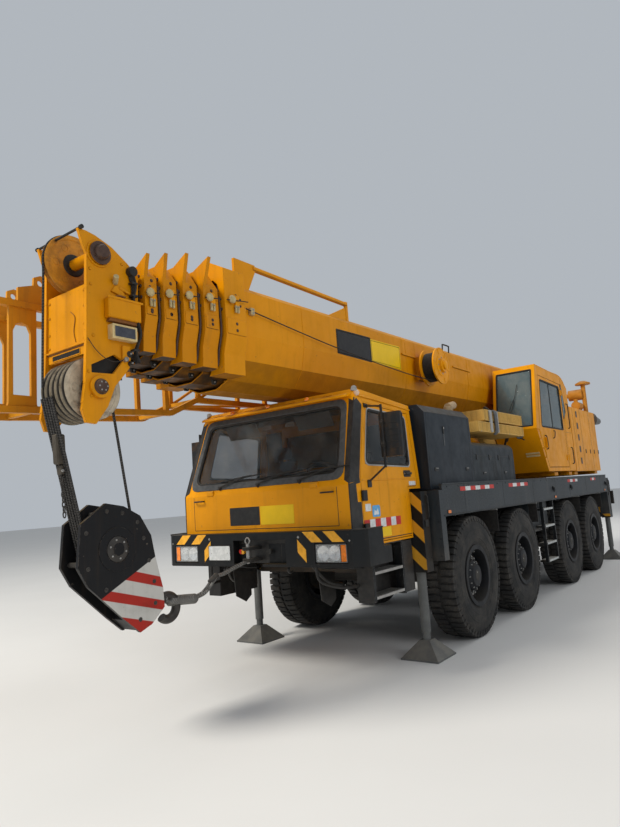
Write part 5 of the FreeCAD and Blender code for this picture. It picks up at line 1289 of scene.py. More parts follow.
# ------------------------------------------------------------------------------------- carrier details
def deck_details():
    a = Acc("deck_fittings")
    for s, _ in SIDES:
        y = s * 1320.0

        def put(u, v, h, y=y, s=s):
            return (u, y + s * h, v)
        # seams, folded upper and lower edges of the side skirt
        for x in (-2060, -3320, -4560, -5720, -6560, -7700, -8860):
            a.box(x - 3, x + 3, y - s * 3, y + s * 1.2, 1420, 1745, "blackpl", 0.8)
        a.bar((-9425, y + s * 3, 1752), (-1475, y + s * 3, 1752), 8, 14, "deck", (0, 0, 1), 2.0)
        a.bar((-9425, y + s * 4, 1412), (-1475, y + s * 4, 1412), 10, 14, "slate", (0, 0, 1), 2.0)
        # row of screws below the deck's edge
        for i in range(26):
            a.bolt((-1600 - i * 305, y, 1722), (0, s, 0), 7, 5, "slate")
        # red and white marking strips
        for x0, x1, z in ((-1950, -3000, 1688), (-3550, -4340, 1688), (-6470, -7130, 1688), (-8100, -8500, 1688)):
            n = max(2, int(round((x0 - x1) / 150.0)))
            w = (x0 - x1) / n
            for i in range(n):
                x = x0 - i * w
                a.slab(rounded([(x, z - 24), (x, z + 24), (x - w + 2, z + 24), (x - w + 2, z - 24)], 2, 2), put, 1.2,
                       "red" if i % 2 == 0 else "white", 0.3)
        # side reflectors
        for x in (-1602, -5640, -9180):
            a.slab(rounded([(x + 42, 1428), (x + 42, 1470), (x - 42, 1470), (x - 42, 1428)], 8, 3), put, 7, "blackpl", 2.0)
            a.slab(rounded([(x + 36, 1433), (x + 36, 1465), (x - 36, 1465), (x - 36, 1433)], 6, 3), put, 10, "lens_amber", 2.0)
        # lashing rings under the skirt's upper edge
        for x in (-5560, -6620, -9300):
            a.box(x - 26, x + 26, y, y + s * 12, 1560, 1620, "black", 3)
            a.tube([(x, y + s * 14, 1606), (x + 30, y + s * 17, 1590), (x + 26, y + s * 18, 1545), (x, y + s * 18, 1530),
                    (x - 26, y + s * 18, 1545), (x - 30, y + s * 17, 1590)], 6, "black", 6, 4, True)
        # mud flaps behind the wheels
        for x in (-3060, -4680, -7160, -8820):
            a.box(x - 5, x + 5, s * 960, s * 1305, 1120, 1405, "rubber", 2)
            a.box(x - 9, x + 9, s * 955, s * 1308, 1386, 1410, "steel", 2)
            for k in range(4):
                a.bolt((x + 9, s * (1000 + k * 86), 1398), (1, 0, 0), 6, 5, "steel")
        # locker doors behind the boarding ladder
        yl = s * 1180.0

        def putl(u, v, h, yl=yl, s=s):
            return (u, yl + s * h, v)
        for x0, x1 in ((-4690, -5090), (-5130, -5530)):
            r = rounded([(x0, 1000), (x0, 1372), (x1, 1372), (x1, 1000)], 18, 3)
            a.slab(r, putl, 4.5, "slate", 1.5)
            a.ring(grow(r, 5), grow(r, 1), putl, 0.0, 1.5, "rubber", 0.5)
            xm = (x0 + x1) / 2
            a.slab(rounded([(xm - 26, 1300), (xm - 26, 1342), (xm + 26, 1342), (xm + 26, 1300)], 6, 3), putl, 6.2, "blackpl", 1.0, 4.5)
            a.box(xm - 20, xm + 20, yl + s * 7, yl + s * 9, 1316, 1324, "steel", 0.6)
        # guard in front of the wheels: folded edge and screws
        for z in (1000, 1180, 1360, 1540):
            a.bolt((-1385, s * 1290, z), (1, 0, 0), 7, 5, "slate")
    a.done("carrier", "frame_dark")

    # what shows between and behind the wheels: air tanks, hoses, drive shafts, chassis plates
    b = Acc("under_deck_fittings")
    for s, _ in SIDES:
        for x in (-3075, -7175):
            for z in (1180, 1330):
                b.lathe((x, s * 430, z), (0, s, 0), [(0, 0), (4, 62), (24, 92), (40, 98), (360, 98), (376, 92), (396, 62), (400, 0)],
                        "under", 28)
                for k in (90, 310):
                    b.lathe((x, s * (430 + k), z), (0, s, 0), [(0, 99), (0, 101.5), (34, 101.5), (34, 99), (0, 99)], "steel", 28)
                b.cyl((x - 40, s * 600, z - 98), (x - 40, s * 600, z - 122), 9, "brass", 10)
        for x in (-2250, -3900, -6350, -8000):
            # brake chambers and hoses beside each axle
            b.lathe((x - 170, s * 640, 860), (1, 0, 0), [(-84, 0), (-84, 58), (-50, 76), (-8, 80), (-8, 88), (8, 88), (8, 80), (60, 74),
                                                         (90, 40), (90, 0)], "under", 24)
            b.tube([(x - 260, s * 640, 860), (x - 300, s * 640, 990), (x - 250, s * 560, 1150), (x - 200, s * 470, 1240)], 9,
                   "rubber", 8, 6)
            b.tube([(x + 150, s * 690, 760), (x + 215, s * 650, 930), (x + 190, s * 560, 1110), (x + 150, s * 470, 1220)], 8,
                   "rubber", 8, 6)
    # long lines under the frame
    for y, z, r in ((-215, 985, 11), (-190, 985, 9), (-165, 985, 9), (215, 985, 11), (190, 985, 9)):
        b.tube([(-1700, y, z), (-3300, y, z - 4), (-5100, y, z), (-7000, y, z - 4), (-8900, y, z)], r, "rubber", 8, 3)
    b.done("carrier", "axle_grey")


def hood_details():
    a = Acc("hood_fittings")
    for s, _ in SIDES:
        y = s * 1200.0

        def put(u, v, h, y=y, s=s):
            return (u, y + s * h, v)
        r = rounded([(-1500, 1745), (-1500, 2560), (-2640, 2560), (-2640, 1745)], 30, 4)
        a.ring(grow(r, 4), grow(r, -3), put, -2.0, 1.2, "blackpl", 0.6)
        # latch with its long strap, two handles
        a.slab(rounded([(-1896, 2330), (-1896, 2420), (-1926, 2420), (-1926, 2330)], 8, 3), put, 9, "blackpl", 2)
        a.slab(rounded([(-1904, 2190), (-1904, 2335), (-1918, 2335), (-1918, 2190)], 4, 3), put, 5, "greydark", 1.2)
        a.bolt((-1911, y + s * 9, 2398), (0, s, 0), 8, 6, "steel")
        for x in (-1640, -2500):
            a.slab(rounded([(x + 44, 1900), (x + 44, 1944), (x - 44, 1944), (x - 44, 1900)], 10, 4), put, 5, "blackpl", 1.5)
            a.box(x - 30, x + 30, y + s * 6, y + s * 14, 1928, 1936, "steel", 1)
        for x in (-1560, -1800, -2060, -2320, -2580):
            a.bolt((x, y, 1722), (0, s, 0), 7, 5, "slate")
    # intake slats in the roof and rear face
    for i in range(13):
        x = -1640 - i * 62
        a.block((x, 0, 2652), ((21, 0, 4), (0, 560, 0), (-1.0, 0, 5.0)), "hood", 1.2)
    a.ring([(-1590, -600), (-1590, 600), (-2430, 600), (-2430, -600)], [(-1612, -578), (-1612, 578), (-2408, 578), (-2408, -578)],
           lambda u, v, h: (u, v, 2650 + h), -2, 9, "hood", 2)
    for i in range(15):
        z = 1880 + i * 44
        a.block((-2703, 0, z), ((4, 0, 5), (0, 700, 0), (3.0, 0, -14)), "hood", 1.0)
    # tail pipe sleeve, pale from heat
    a.lathe((-2450, 1050, 2640), (0, 0, 1), [(0, 54.2), (0, 60), (22, 60), (22, 55), (66, 55), (66, 54.2), (0, 54.2)], "tan", 28)
    a.done("carrier", "frame_dark")

    # rounded lockers behind the hood: lids, straps, handles
    b = Acc("toolbox_fittings")
    for s, _ in SIDES:
        for x0, x1 in ((-2790, -3520), (-3570, -4300)):
            y = s * 1160.0

            def put(u, v, h, y=y, s=s):
                return (u, y + s * h, v)
            r = rounded([(x0 - 20, 1740), (x0 - 20, 2090), (x1 + 20, 2090), (x1 + 20, 1740)], 20, 3)
            b.ring(grow(r, 3), grow(r, -3), put, -2.0, 1.0, "blackpl", 0.5)
            xm = (x0 + x1) / 2
            for x in (xm - 220, xm + 220):
                b.slab(rounded([(x - 15, 2040), (x - 15, 2112), (x + 15, 2112), (x + 15, 2040)], 5, 3), put, 7, "blackpl", 1.6)
            b.slab(rounded([(xm - 46, 1850), (xm - 46, 1886), (xm + 46, 1886), (xm + 46, 1850)], 8, 3), put, 4, "blackpl", 1)
            b.box(xm - 32, xm + 32, y + s * 5, y + s * 13, 1871, 1879, "steel", 1)
    b.done("carrier", "frame_dark")


# ------------------------------------------------------------------------------------- slewing upper
CF = (-5330 + 5590) / (3560.0 + 80.0 - 2560.0)


def cc_front(y, z, h=0.0):
    """point on the crane cab's slanted upper front face, h outwards"""
    return (-5330 - CF * (z - 2560) + 0.972 * h, y, z + 0.234 * h)


def crane_cab_details():
    a = Acc("crane_cab_trim")
    # rubber round the front pane, bonded glass and its wiper
    r = rounded([(604, 2606), (604, 3556), (1191, 3556), (1191, 2606)], 26, 5)
    a.ring(grow(r, 8), grow(r, -14), cc_front, -20, 2.2, "rubber", 1.0)
    a.slab(grow(r, -13), cc_front, 1.5, "glass_dark", 0.2, -15.0)
    a.cyl(cc_front(700, 2588, 0), cc_front(700, 2588, 34), 13, "blackpl", 14)
    a.bar(cc_front(700, 2588, 26), cc_front(900, 3080, 18), 9, 7, "blackpl", (1, 0, 0.2), 1.5)
    a.bar(cc_front(860, 2860, 12), cc_front(960, 3330, 12), 7, 9, "rubber", (1, 0, 0.2), 1.2)
    # side window ahead of and behind the door: dark seal all round the door
    d = [(-5800, 1930), (-5480, 2500), (-5700, 3470), (-6980, 3440), (-6980, 1930)]

    def put(u, v, h):
        return (u, 1250 + h, v)
    a.ring(grow(d, 5), grow(d, 1), put, -3.0, 0.8, "rubber", 0.5)
    # seams of the rear part of the cab and its grip
    for p, q in (((-7040, 1900), (-7040, 3560)), ((-7430, 2560), (-7045, 2560))):
        a.bar((p[0], 1250.4, p[1]), (q[0], 1250.4, q[1]), 2.0, 4.0, "blackpl", (0, 0, 1) if p[0] != q[0] else (1, 0, 0), 0.5)
    for z0, z1, x in ((1990, 2290, -7250), (2640, 3100, -7250)):
        a.tube([(x, 1250, z0), (x, 1276, z0 + 12), (x, 1281, z0 + 60), (x, 1281, z1 - 60), (x, 1276, z1 - 12), (x, 1250, z1)], 9,
               "blackpl", 8, 4)
    # grips on the lower front corner
    for x in (-5400, -5620):
        zt = 2545 if x == -5400 else 2240
        xx = -5730 + (zt - 1862) * 0.573
        a.tube([(xx - 30, 1250, zt), (xx - 26, 1274, zt - 10), (xx - 60, 1280, zt - 80), (xx - 92, 1274, zt - 142),
                (xx - 98, 1250, zt - 152)], 8, "yellow", 8, 4)
    # vent grille on the lower front face
    for i in range(2):
        z = 2130 + i * 40
        x = -5730 + (z - 1862) * 0.573
        a.block((x + 3, 1070, z), ((7, 0, 12), (0, 110, 0), (7, 0, -4.5)), "cream", 1.0)
    # fixed corner pane behind the door, in its rubber
    cp = rounded([(-7006, 3440), (-7050, 3440), (-7176, 2944), (-7006, 2790)], 14, 3)
    a.ring(grow(cp, 7), grow(cp, -7), put, -2, 4, "rubber", 1)
    a.slab(grow(cp, -6), put, 1.6, "glass_solid", 0.4, 0.2)
    # roof: guard bars over the roof pane, lamp, gutter
    for i in range(7):
        y = 668 + i * 77
        a.tube([(-5830, y, 3636), (-5860, y, 3652), (-6400, y, 3641), (-6890, y, 3626), (-6915, y, 3604)], 6.5, "yellow", 6, 4)
    for x in (-5850, -6375, -6900):
        z = 3640 - (-5590 - x) * 0.02685 + 12
        a.bar((x, 648, z), (x, 1150, z), 14, 8, "yellow", (0, 0, 1), 2)
    a.tube([(-5600, 1246, 3634), (-6400, 1246, 3612), (-7080, 1246, 3592), (-7430, 1246, 3396)], 9, "yellow", 6, 5)
    a.tube([(-5602, 552, 3630), (-5604, 900, 3632), (-5602, 1244, 3630)], 9, "yellow", 6, 4)
    # rear pane's rubber
    rr = rounded([(644, 2704), (644, 3296), (1146, 3296), (1146, 2704)], 30, 5)
    a.ring(grow(rr, 10), grow(rr, -12), lambda u, v, h: (-7440 - h, u, v), -8, 2.5, "rubber", 1.0)
    # work lamp below the front pane
    a.lathe((-5180, 1010, 2466), (1, 0, -0.08), [(-86, 0), (-80, 34), (-30, 62), (0, 66), (4, 66), (4, 60)], "blackpl", 24)
    a.lathe((-5180, 1010, 2466), (1, 0, -0.08), [(3, 60), (6, 40), (8, 0)], "lens_clear", 24)
    a.bar((-5235, 1010, 2420), (-5392, 1010, 2392), 30, 8, "blackpl", (0, 0, 1), 2)
    # lettering panel left blank on the lower side
    a.slab(rounded([(-5905, 2030), (-5905, 2190), (-6400, 2190), (-6400, 2030)], 8, 3), put, 0.9, "yellow", 0.3)
    a.done("upper", "crane_yellow")

    # door of the crane cab: pane, seals, lock, hand strap
    b = Acc("crane_door_fittings")
    w = [(-5620, 2600), (-5780, 3400), (-6900, 3380), (-6900, 2600)]
    w2 = rounded(w, 40, 5)
    b.ring(grow(w2, 12), grow(w2, -14), put, -30, 3.0, "rubber", 1.2)
    b.slab(grow(w2, -12), put, 4.5, "glass_dark", 0.3, -17.0)
    b.bar((-6290, 1239, 2612), (-6290, 1239, 3378), 24, 9, "rubber", (0, 1, 0), 2)
    b.slab(rounded([(-5700, 2210), (-5700, 2466), (-5762, 2466), (-5762, 2210)], 12, 4), put, 3, "yellow", 1)
    b.tube([(-5714, 1250, 2452), (-5708, 1279, 2440), (-5726, 1285, 2340), (-5742, 1279, 2240), (-5748, 1250, 2228)], 9,
           "blackpl", 8, 4)
    b.tube([(-6252, 1250, 2552), (-6250, 1274, 2546), (-6222, 1279, 2490), (-6194, 1274, 2434), (-6191, 1250, 2424)], 8,
           "blackpl", 8, 4)
    b.done("crane_door", "crane_yellow")

    # inside: roof lining, dashboard with levers and small display, floor mat, lamp
    c = Acc("crane_cab_inside")
    for y in (672, 1095):
        c.box(-6700, -6120, y - 42, y + 42, 2330, 2420, "blackpl", 12)
        c.tube([(-6180, y, 2420), (-6172, y, 2480), (-6160, y, 2550)], 9, "blackpl", 8, 4)
        c.lathe((-6162, y, 2540), (0.12, 0, 1), [(0, 0), (6, 16), (30, 22), (52, 17), (60, 0)], "rubber", 16)
    c.box(-5840, -5720, 600, 820, 2480, 2680, "blackpl", 16)
    c.box(-5852, -5842, 620, 800, 2510, 2650, "dispblue", 2)
    c.tube([(-5760, 700, 1960), (-5770, 700, 2200), (-5780, 705, 2490)], 16, "blackpl", 8, 4)
    for y in (760, 880, 1000):
        c.block((-5950, y, 1990), ((58, 0, 30), (0, 36, 0), (-4, 0, 8)), "blackpl", 3)
    c.done("upper", "dash_plastic")


def house_details():
    a = Acc("house_fittings")

    def put(u, v, h):
        return (u, 1250 + h, v)

    def putr(u, v, h):
        return (u, -1250 - h, v)
    # left side: doors' seams, the ladder slots, latches
    for x in (-7660, -8180, -8900):
        a.box(x - 3, x + 3, 1247, 1251.2, 1870, 3050, "blackpl", 0.7)
    for i in range(5):
        z = 1990 + i * 225
        a.slab(rounded([(-7880, z), (-7880, z + 120), (-7985, z + 120), (-7985, z)], 16, 4), put, 1.3, "blackpl", 0.4)
        a.bar((-7870, 1252, z - 8), (-7995, 1252, z - 8), 6, 10, "yellow", (0, 0, 1), 2)
    for x0, x1 in ((-8210, -8870), (-8930, -9520)):
        xm = (x0 + x1) / 2
        for x in (xm - 180, xm + 180):
            a.slab(rounded([(x - 20, 2200), (x - 20, 2280), (x + 20, 2280), (x + 20, 2200)], 8, 3), put, 7, "blackpl", 1.6)
    # right side
    for x in (-6320, -7100, -7880, -8660, -9500):
        a.box(x - 3, x + 3, -1251.2, -1246, 1870, 2840, "blackpl", 0.7)
    for x0, x1 in ((-6380, -7050), (-7150, -7830), (-7930, -8610), (-8710, -9450)):
        xm = (x0 + x1) / 2
        for i in range(9):
            z = 2380 + i * 36
            a.block((xm, -1251.5, z), (((x0 - x1) / 2 - 60, 0, 0), (0, -2.4, 5), (0, -5, -12)), "yellow", 1.0)
        a.slab(rounded([(xm - 44, 2090), (xm - 44, 2130), (xm + 44, 2130), (xm + 44, 2090)], 8, 3), putr, 6, "blackpl", 1.6)
    # roof: filler cap, lifting eyes, grille
    for y in (700, 1120):
        for x in (-7700, -9400):
            a.prism([(x - 34, 3070), (x - 20, 3112), (x + 20, 3112), (x + 34, 3070)], "y", y - 7, y + 7, "yellow", 2)
            a.cyl((x, y - 8, 3092), (x, y + 8, 3092), 11, "blackpl", 14)
    a.lathe((-8000, 900, 3070), (0, 0, 1), [(0, 0), (0, 64), (16, 66), (26, 60), (30, 0)], "blackpl", 28)
    for i in range(11):
        a.block((-8600 - i * 58, 900, 3073), ((18, 0, 3), (0, 230, 0), (-1, 0, 4.5)), "yellow", 1.0)
    for i in range(14):
        a.block((-6700 - i * 58, -900, 2863), ((18, 0, 3), (0, -230, 0), (-1, 0, 4.5)), "yellow", 1.0)
    # rear faces: lamps and blank plate
    for s, zt in ((1, 3070), (-1, 2860)):
        a.ring(rounded([(s * 640, 1930), (s * 640, zt - 90), (s * 1170, zt - 90), (s * 1170, 1930)][::s], 24, 4),
               rounded([(s * 646, 1936), (s * 646, zt - 96), (s * 1164, zt - 96), (s * 1164, 1936)][::s], 20, 4),
               lambda u, v, h: (-9560 - h, u, v), -2, 1.2, "blackpl", 0.5)
        for i in range(12):
            a.block((-9562, s * 905, 2020 + i * 40), ((2.4, 0, 5), (0, 200, 0), (5, 0, -13)), "yellow", 1.0)
    # steps up the side of the turntable, hoses between the cheeks
    for k, (y, z) in enumerate(((-120, 1905), (-60, 1930), (0, 1905), (60, 1935), (120, 1910))):
        a.tube([(-7600, y, 1830), (-7900, y * 1.2, z + 60), (-8400, y * 1.1, z + 90), (-8750, y, 1990)], 15 - 2 * (k % 2),
               "rubber", 8, 5)
    # bolts round the slewing ring
    for i in range(36):
        t = 2 * pi * i / 36
        a.bolt((-7170 + 700 * cos(t), 700 * sin(t), 1786), (0, 0, 1), 13, 13, "steel")
    a.done("upper", "crane_yellow")

    # winch: rope in turns on the drum
    b = Acc("winch_rope")
    prof = [(0, 171)]
    n = 36
    for i in range(n):
        c = 10 + i * 17.2
        for t in (-0.5, -0.3, -0.1, 0.1, 0.3, 0.5):
            prof.append((c + t * 16.8, 178 + 9.0 * sqrt(max(0.0, 1 - (t * 1.9) ** 2))))
    prof.append((640, 171))
    b.lathe((-9130, -320, 2330), (0, 1, 0), prof, "rope", 48)
    for s in (1, -1):
        for i in range(8):
            t = 2 * pi * i / 8
            b.bolt((-9130 + 235 * cos(t), s * 348, 2330 + 235 * sin(t)), (0, s, 0), 9, 5, "steel", False)
    b.done("winch_drum", "rope")


def cooler_details():
    a = Acc("cooler_fittings")
    # folded fins on the side faces, frames, pipes and the hose post between
    for x0, x1, y, z0, z1 in ((-4950, -3130, 1150, 2420, 2560), (-4950, -3400, 1140, 2585, 2740)):
        n = int((x1 - x0) / 26)
        for i in range(n):
            x = x0 + 20 + i * 26
            if -3905 < x < -3480:
                continue
            a.box(x, x + 9, y - 4, y + 3.5, z0 + 16, z1 - 16, "coolerp", 1)
        for z in (z0 + 8, z1 - 8):
            a.bar((x0, y + 1, z), (x1, y + 1, z), 8, 15, "coolerp", (0, 0, 1), 2)
        for x in (x0 + 8, x1 - 8, -4400):
            a.box(x - 8, x + 8, y - 3, y + 6, z0, z1, "coolerp", 2)
        # fins across the front end
        for i in range(16):
            yy = y - 460 + i * 28
            a.box(x1 - 4, x1 + 3.5, yy, yy + 9, z0 + 16, z1 - 16, "coolerp", 1)
    a.box(-3870, -3790, 1141, 1166, 2430, 2735, "greyp", 8)
    a.box(-3640, -3560, 1141, 1166, 2430, 2735, "greyp", 8)
    for x in (-3700, -3745):
        a.tube([(x, 1146, 2730), (x, 1176, 2716), (x + 4, 1182, 2640), (x - 4, 1182, 2520), (x, 1176, 2440), (x - 6, 1140, 2405)], 17,
               "greydark", 10, 5)
    a.tube([(-3660, 1120, 2741), (-3680, 1060, 2790), (-3900, 960, 2798), (-4150, 900, 2745)], 16, "rubber", 10, 5)
    a.tube([(-4950, 900, 2500), (-5060, 890, 2490), (-5180, 800, 2440), (-5330, 700, 2330)], 18, "rubber", 10, 6)
    a.tube([(-4950, 1000, 2660), (-5060, 980, 2640), (-5150, 860, 2540), (-5300, 760, 2400)], 18, "rubber", 10, 6)
    for x in (-4860, -4300, -3600, -3220):
        a.bolt((x, 1151, 2428), (0, 1, 0), 9, 6, "steel")
    a.done("upper", "crane_yellow")


deck_details()
hood_details()
crane_cab_details()
house_details()
cooler_details()
# ------------------------------------------------------------------------------------- boom
def untip_pt(x, z):
    dx, dz = x - PIVOT[0], z - PIVOT[1]
    return (PIVOT[0] + dx * cos(TIP) - dz * sin(TIP), PIVOT[1] + dx * sin(TIP) + dz * cos(TIP))


def tipped(a):
    """turns everything drawn on the level boom nose down with it"""
    a.v = [tip_pt(*p) for p in a.v]


BT = 3867.0
COLL = ((0, 610, 880, 165, 878, 70), (1, 920, 1095, 112, 838, 66), (2, 1130, 1290, 112, 812, 64), (3, 1325, 1465, 83, 780, 62),
        (4, 1500, 1625, 50, 750, 60))


def boom_sections():
    for k, x0, x1, rise, depth, bulge in COLL:
        hw = 450.0 - 40.0 * k
        Y = hw + bulge
        body = "boom" if k == 0 else "boom_%d" % k
        a = Acc("collar_fittings_%d" % k)
        xm = 0.5 * (x0 + x1)
        w = 0.5 * (x1 - x0)
        for s in (1, -1):
            # dark seal along the collar's rear edge, into the gap behind it
            zb = BT - depth
            if k:
                a.tube([(x0 - 14, s * (Y - 6), BT - 190), (x0 - 15, s * (Y + 2), BT - 330), (x0 - 15, s * (Y + 2), BT - depth * 0.62),
                        (x0 - 15, s * (hw + bulge * 0.40), BT - depth * 0.80), (x0 - 15, s * (hw * 0.97), zb + 22),
                        (x0 - 15, s * (hw * 0.60), zb + 10)], 9.5, "brownpin", 8, 5)
            # plate welded on the side, with two screws
            def put(u, v, h, Y=Y, s=s):
                return (u, s * (Y + h), v)
            zl = BT - depth * 0.60
            r = rounded([(x1 - 12, zl), (x1 - 12, BT - 380), (x0 + 12, BT - 380), (x0 + 12, zl)], 10, 3)
            a.slab(r, put, 6, "section_yellow" if k else "boom_yellow", 2)
            for z in (zl + 40, BT - 425):
                a.bolt((xm, s * (Y + 6), z), (0, s, 0), 11, 8, "brownpin")
            # guide roller on its bracket, with its clamp below
            bx, bz = untip_pt(xm, 3459.0 + (xm - 1350) * -0.085)
            a.block((bx - 4, s * (Y + 10), bz - 4), ((26, 0, 0), (0, 12, 0), (0, 0, 50)), "yellow", 4)
            a.lathe((bx + w * 0.55, s * Y, bz + 2), (0, s, 0), [(0, 14), (10, 24), (20, 34), (32, 38), (44, 34), (52, 22), (55, 0)], "brass", 20)
            for dx in (-15, 15):
                a.block((bx + 6 + dx, s * (Y + 20), bz - 76), ((10, 0, 0), (0, 9, 0), (0, 0, 34)), "brass", 3)
                a.bolt((bx + 6 + dx, s * (Y + 29), bz - 60), (0, s, 0), 7, 6, "steel", False)
            a.box(bx - 30, bx + 36, *sorted((s * Y, s * (Y + 16))), bz + 46, bz + 56, "yellow", 2)
            for dz in (30, -30):
                a.bolt((bx - w * 0.45, s * Y, bz + dz), (0, s, 0), 9, 7, "brownpin")
            # short length of signal cable through the roller
            a.tube([(x0 - 4, s * (Y + 30), bz + 6 - (x0 - bx) * 0.085), (bx, s * (Y + 33), bz + 2),
                    (x1 + 3, s * (Y + 30), bz - 2 + (bx - x1) * 0.085)], 5, "rubber", 6, 4)
            # bolts on the ears and on the collar's front rim
            for yy, zz in ((hw * 0.97, BT - 120), (hw * 1.03, BT - 205), (hw * 1.05, BT - 300)):
                a.bolt((x1, s * yy, zz), (1, 0, 0), 12, 9, "brownpin")
            for zz in (BT - 158, BT - 215, BT - 272):
                a.bolt((xm + (8 if zz == BT - 215 else -10), s * Y, zz), (0, s, 0), 11, 8, "brownpin")
            # hinge lug under the collar
            a.prism([(xm - 34, zb + 4), (xm - 20, zb - 46), (xm + 20, zb - 46), (xm + 34, zb + 4)], "y", s * hw * 0.42 - 12,
                    s * hw * 0.42 + 12, "grease_and_shade", 2)
            a.cyl((xm, s * hw * 0.42 - 16, zb - 24), (xm, s * hw * 0.42 + 16, zb - 24), 9, "steel", 12)
        # grease pads inside the front rim, four a side
        for s in (1, -1):
            for zz in (BT - 40 * k - 120, BT - 40 * k - 330):
                a.block((x1 + 3, s * (hw - 5 - 12), zz), ((4, 0, 0), (0, 9, 0), (0, 0, 44)), "grease_and_shade", 1.5)
        tipped(a)
        a.done(body, "crane_yellow" if k == 0 else "boom_grease")
        # hoist rope along the section's upper side
        if k:
            b = Acc("upper_rope_%d" % k)
            z = BT - 40 * k + 9.5
            b.tube([(-9150 + 110 * k + 90, -71, z), (-5000, -71, z), (x0, -71, z)], 8.5, "rope", 8, 3)
            tipped(b)
            b.done(body, "rope")
    b = Acc("upper_rope_5")
    z = BT - 200 + 9.5
    b.tube([(-8550, -71, z), (-4000, -71, z), (1640, -71, z)], 8.5, "rope", 8, 3)
    tipped(b)
    b.done("boom_5", "rope")


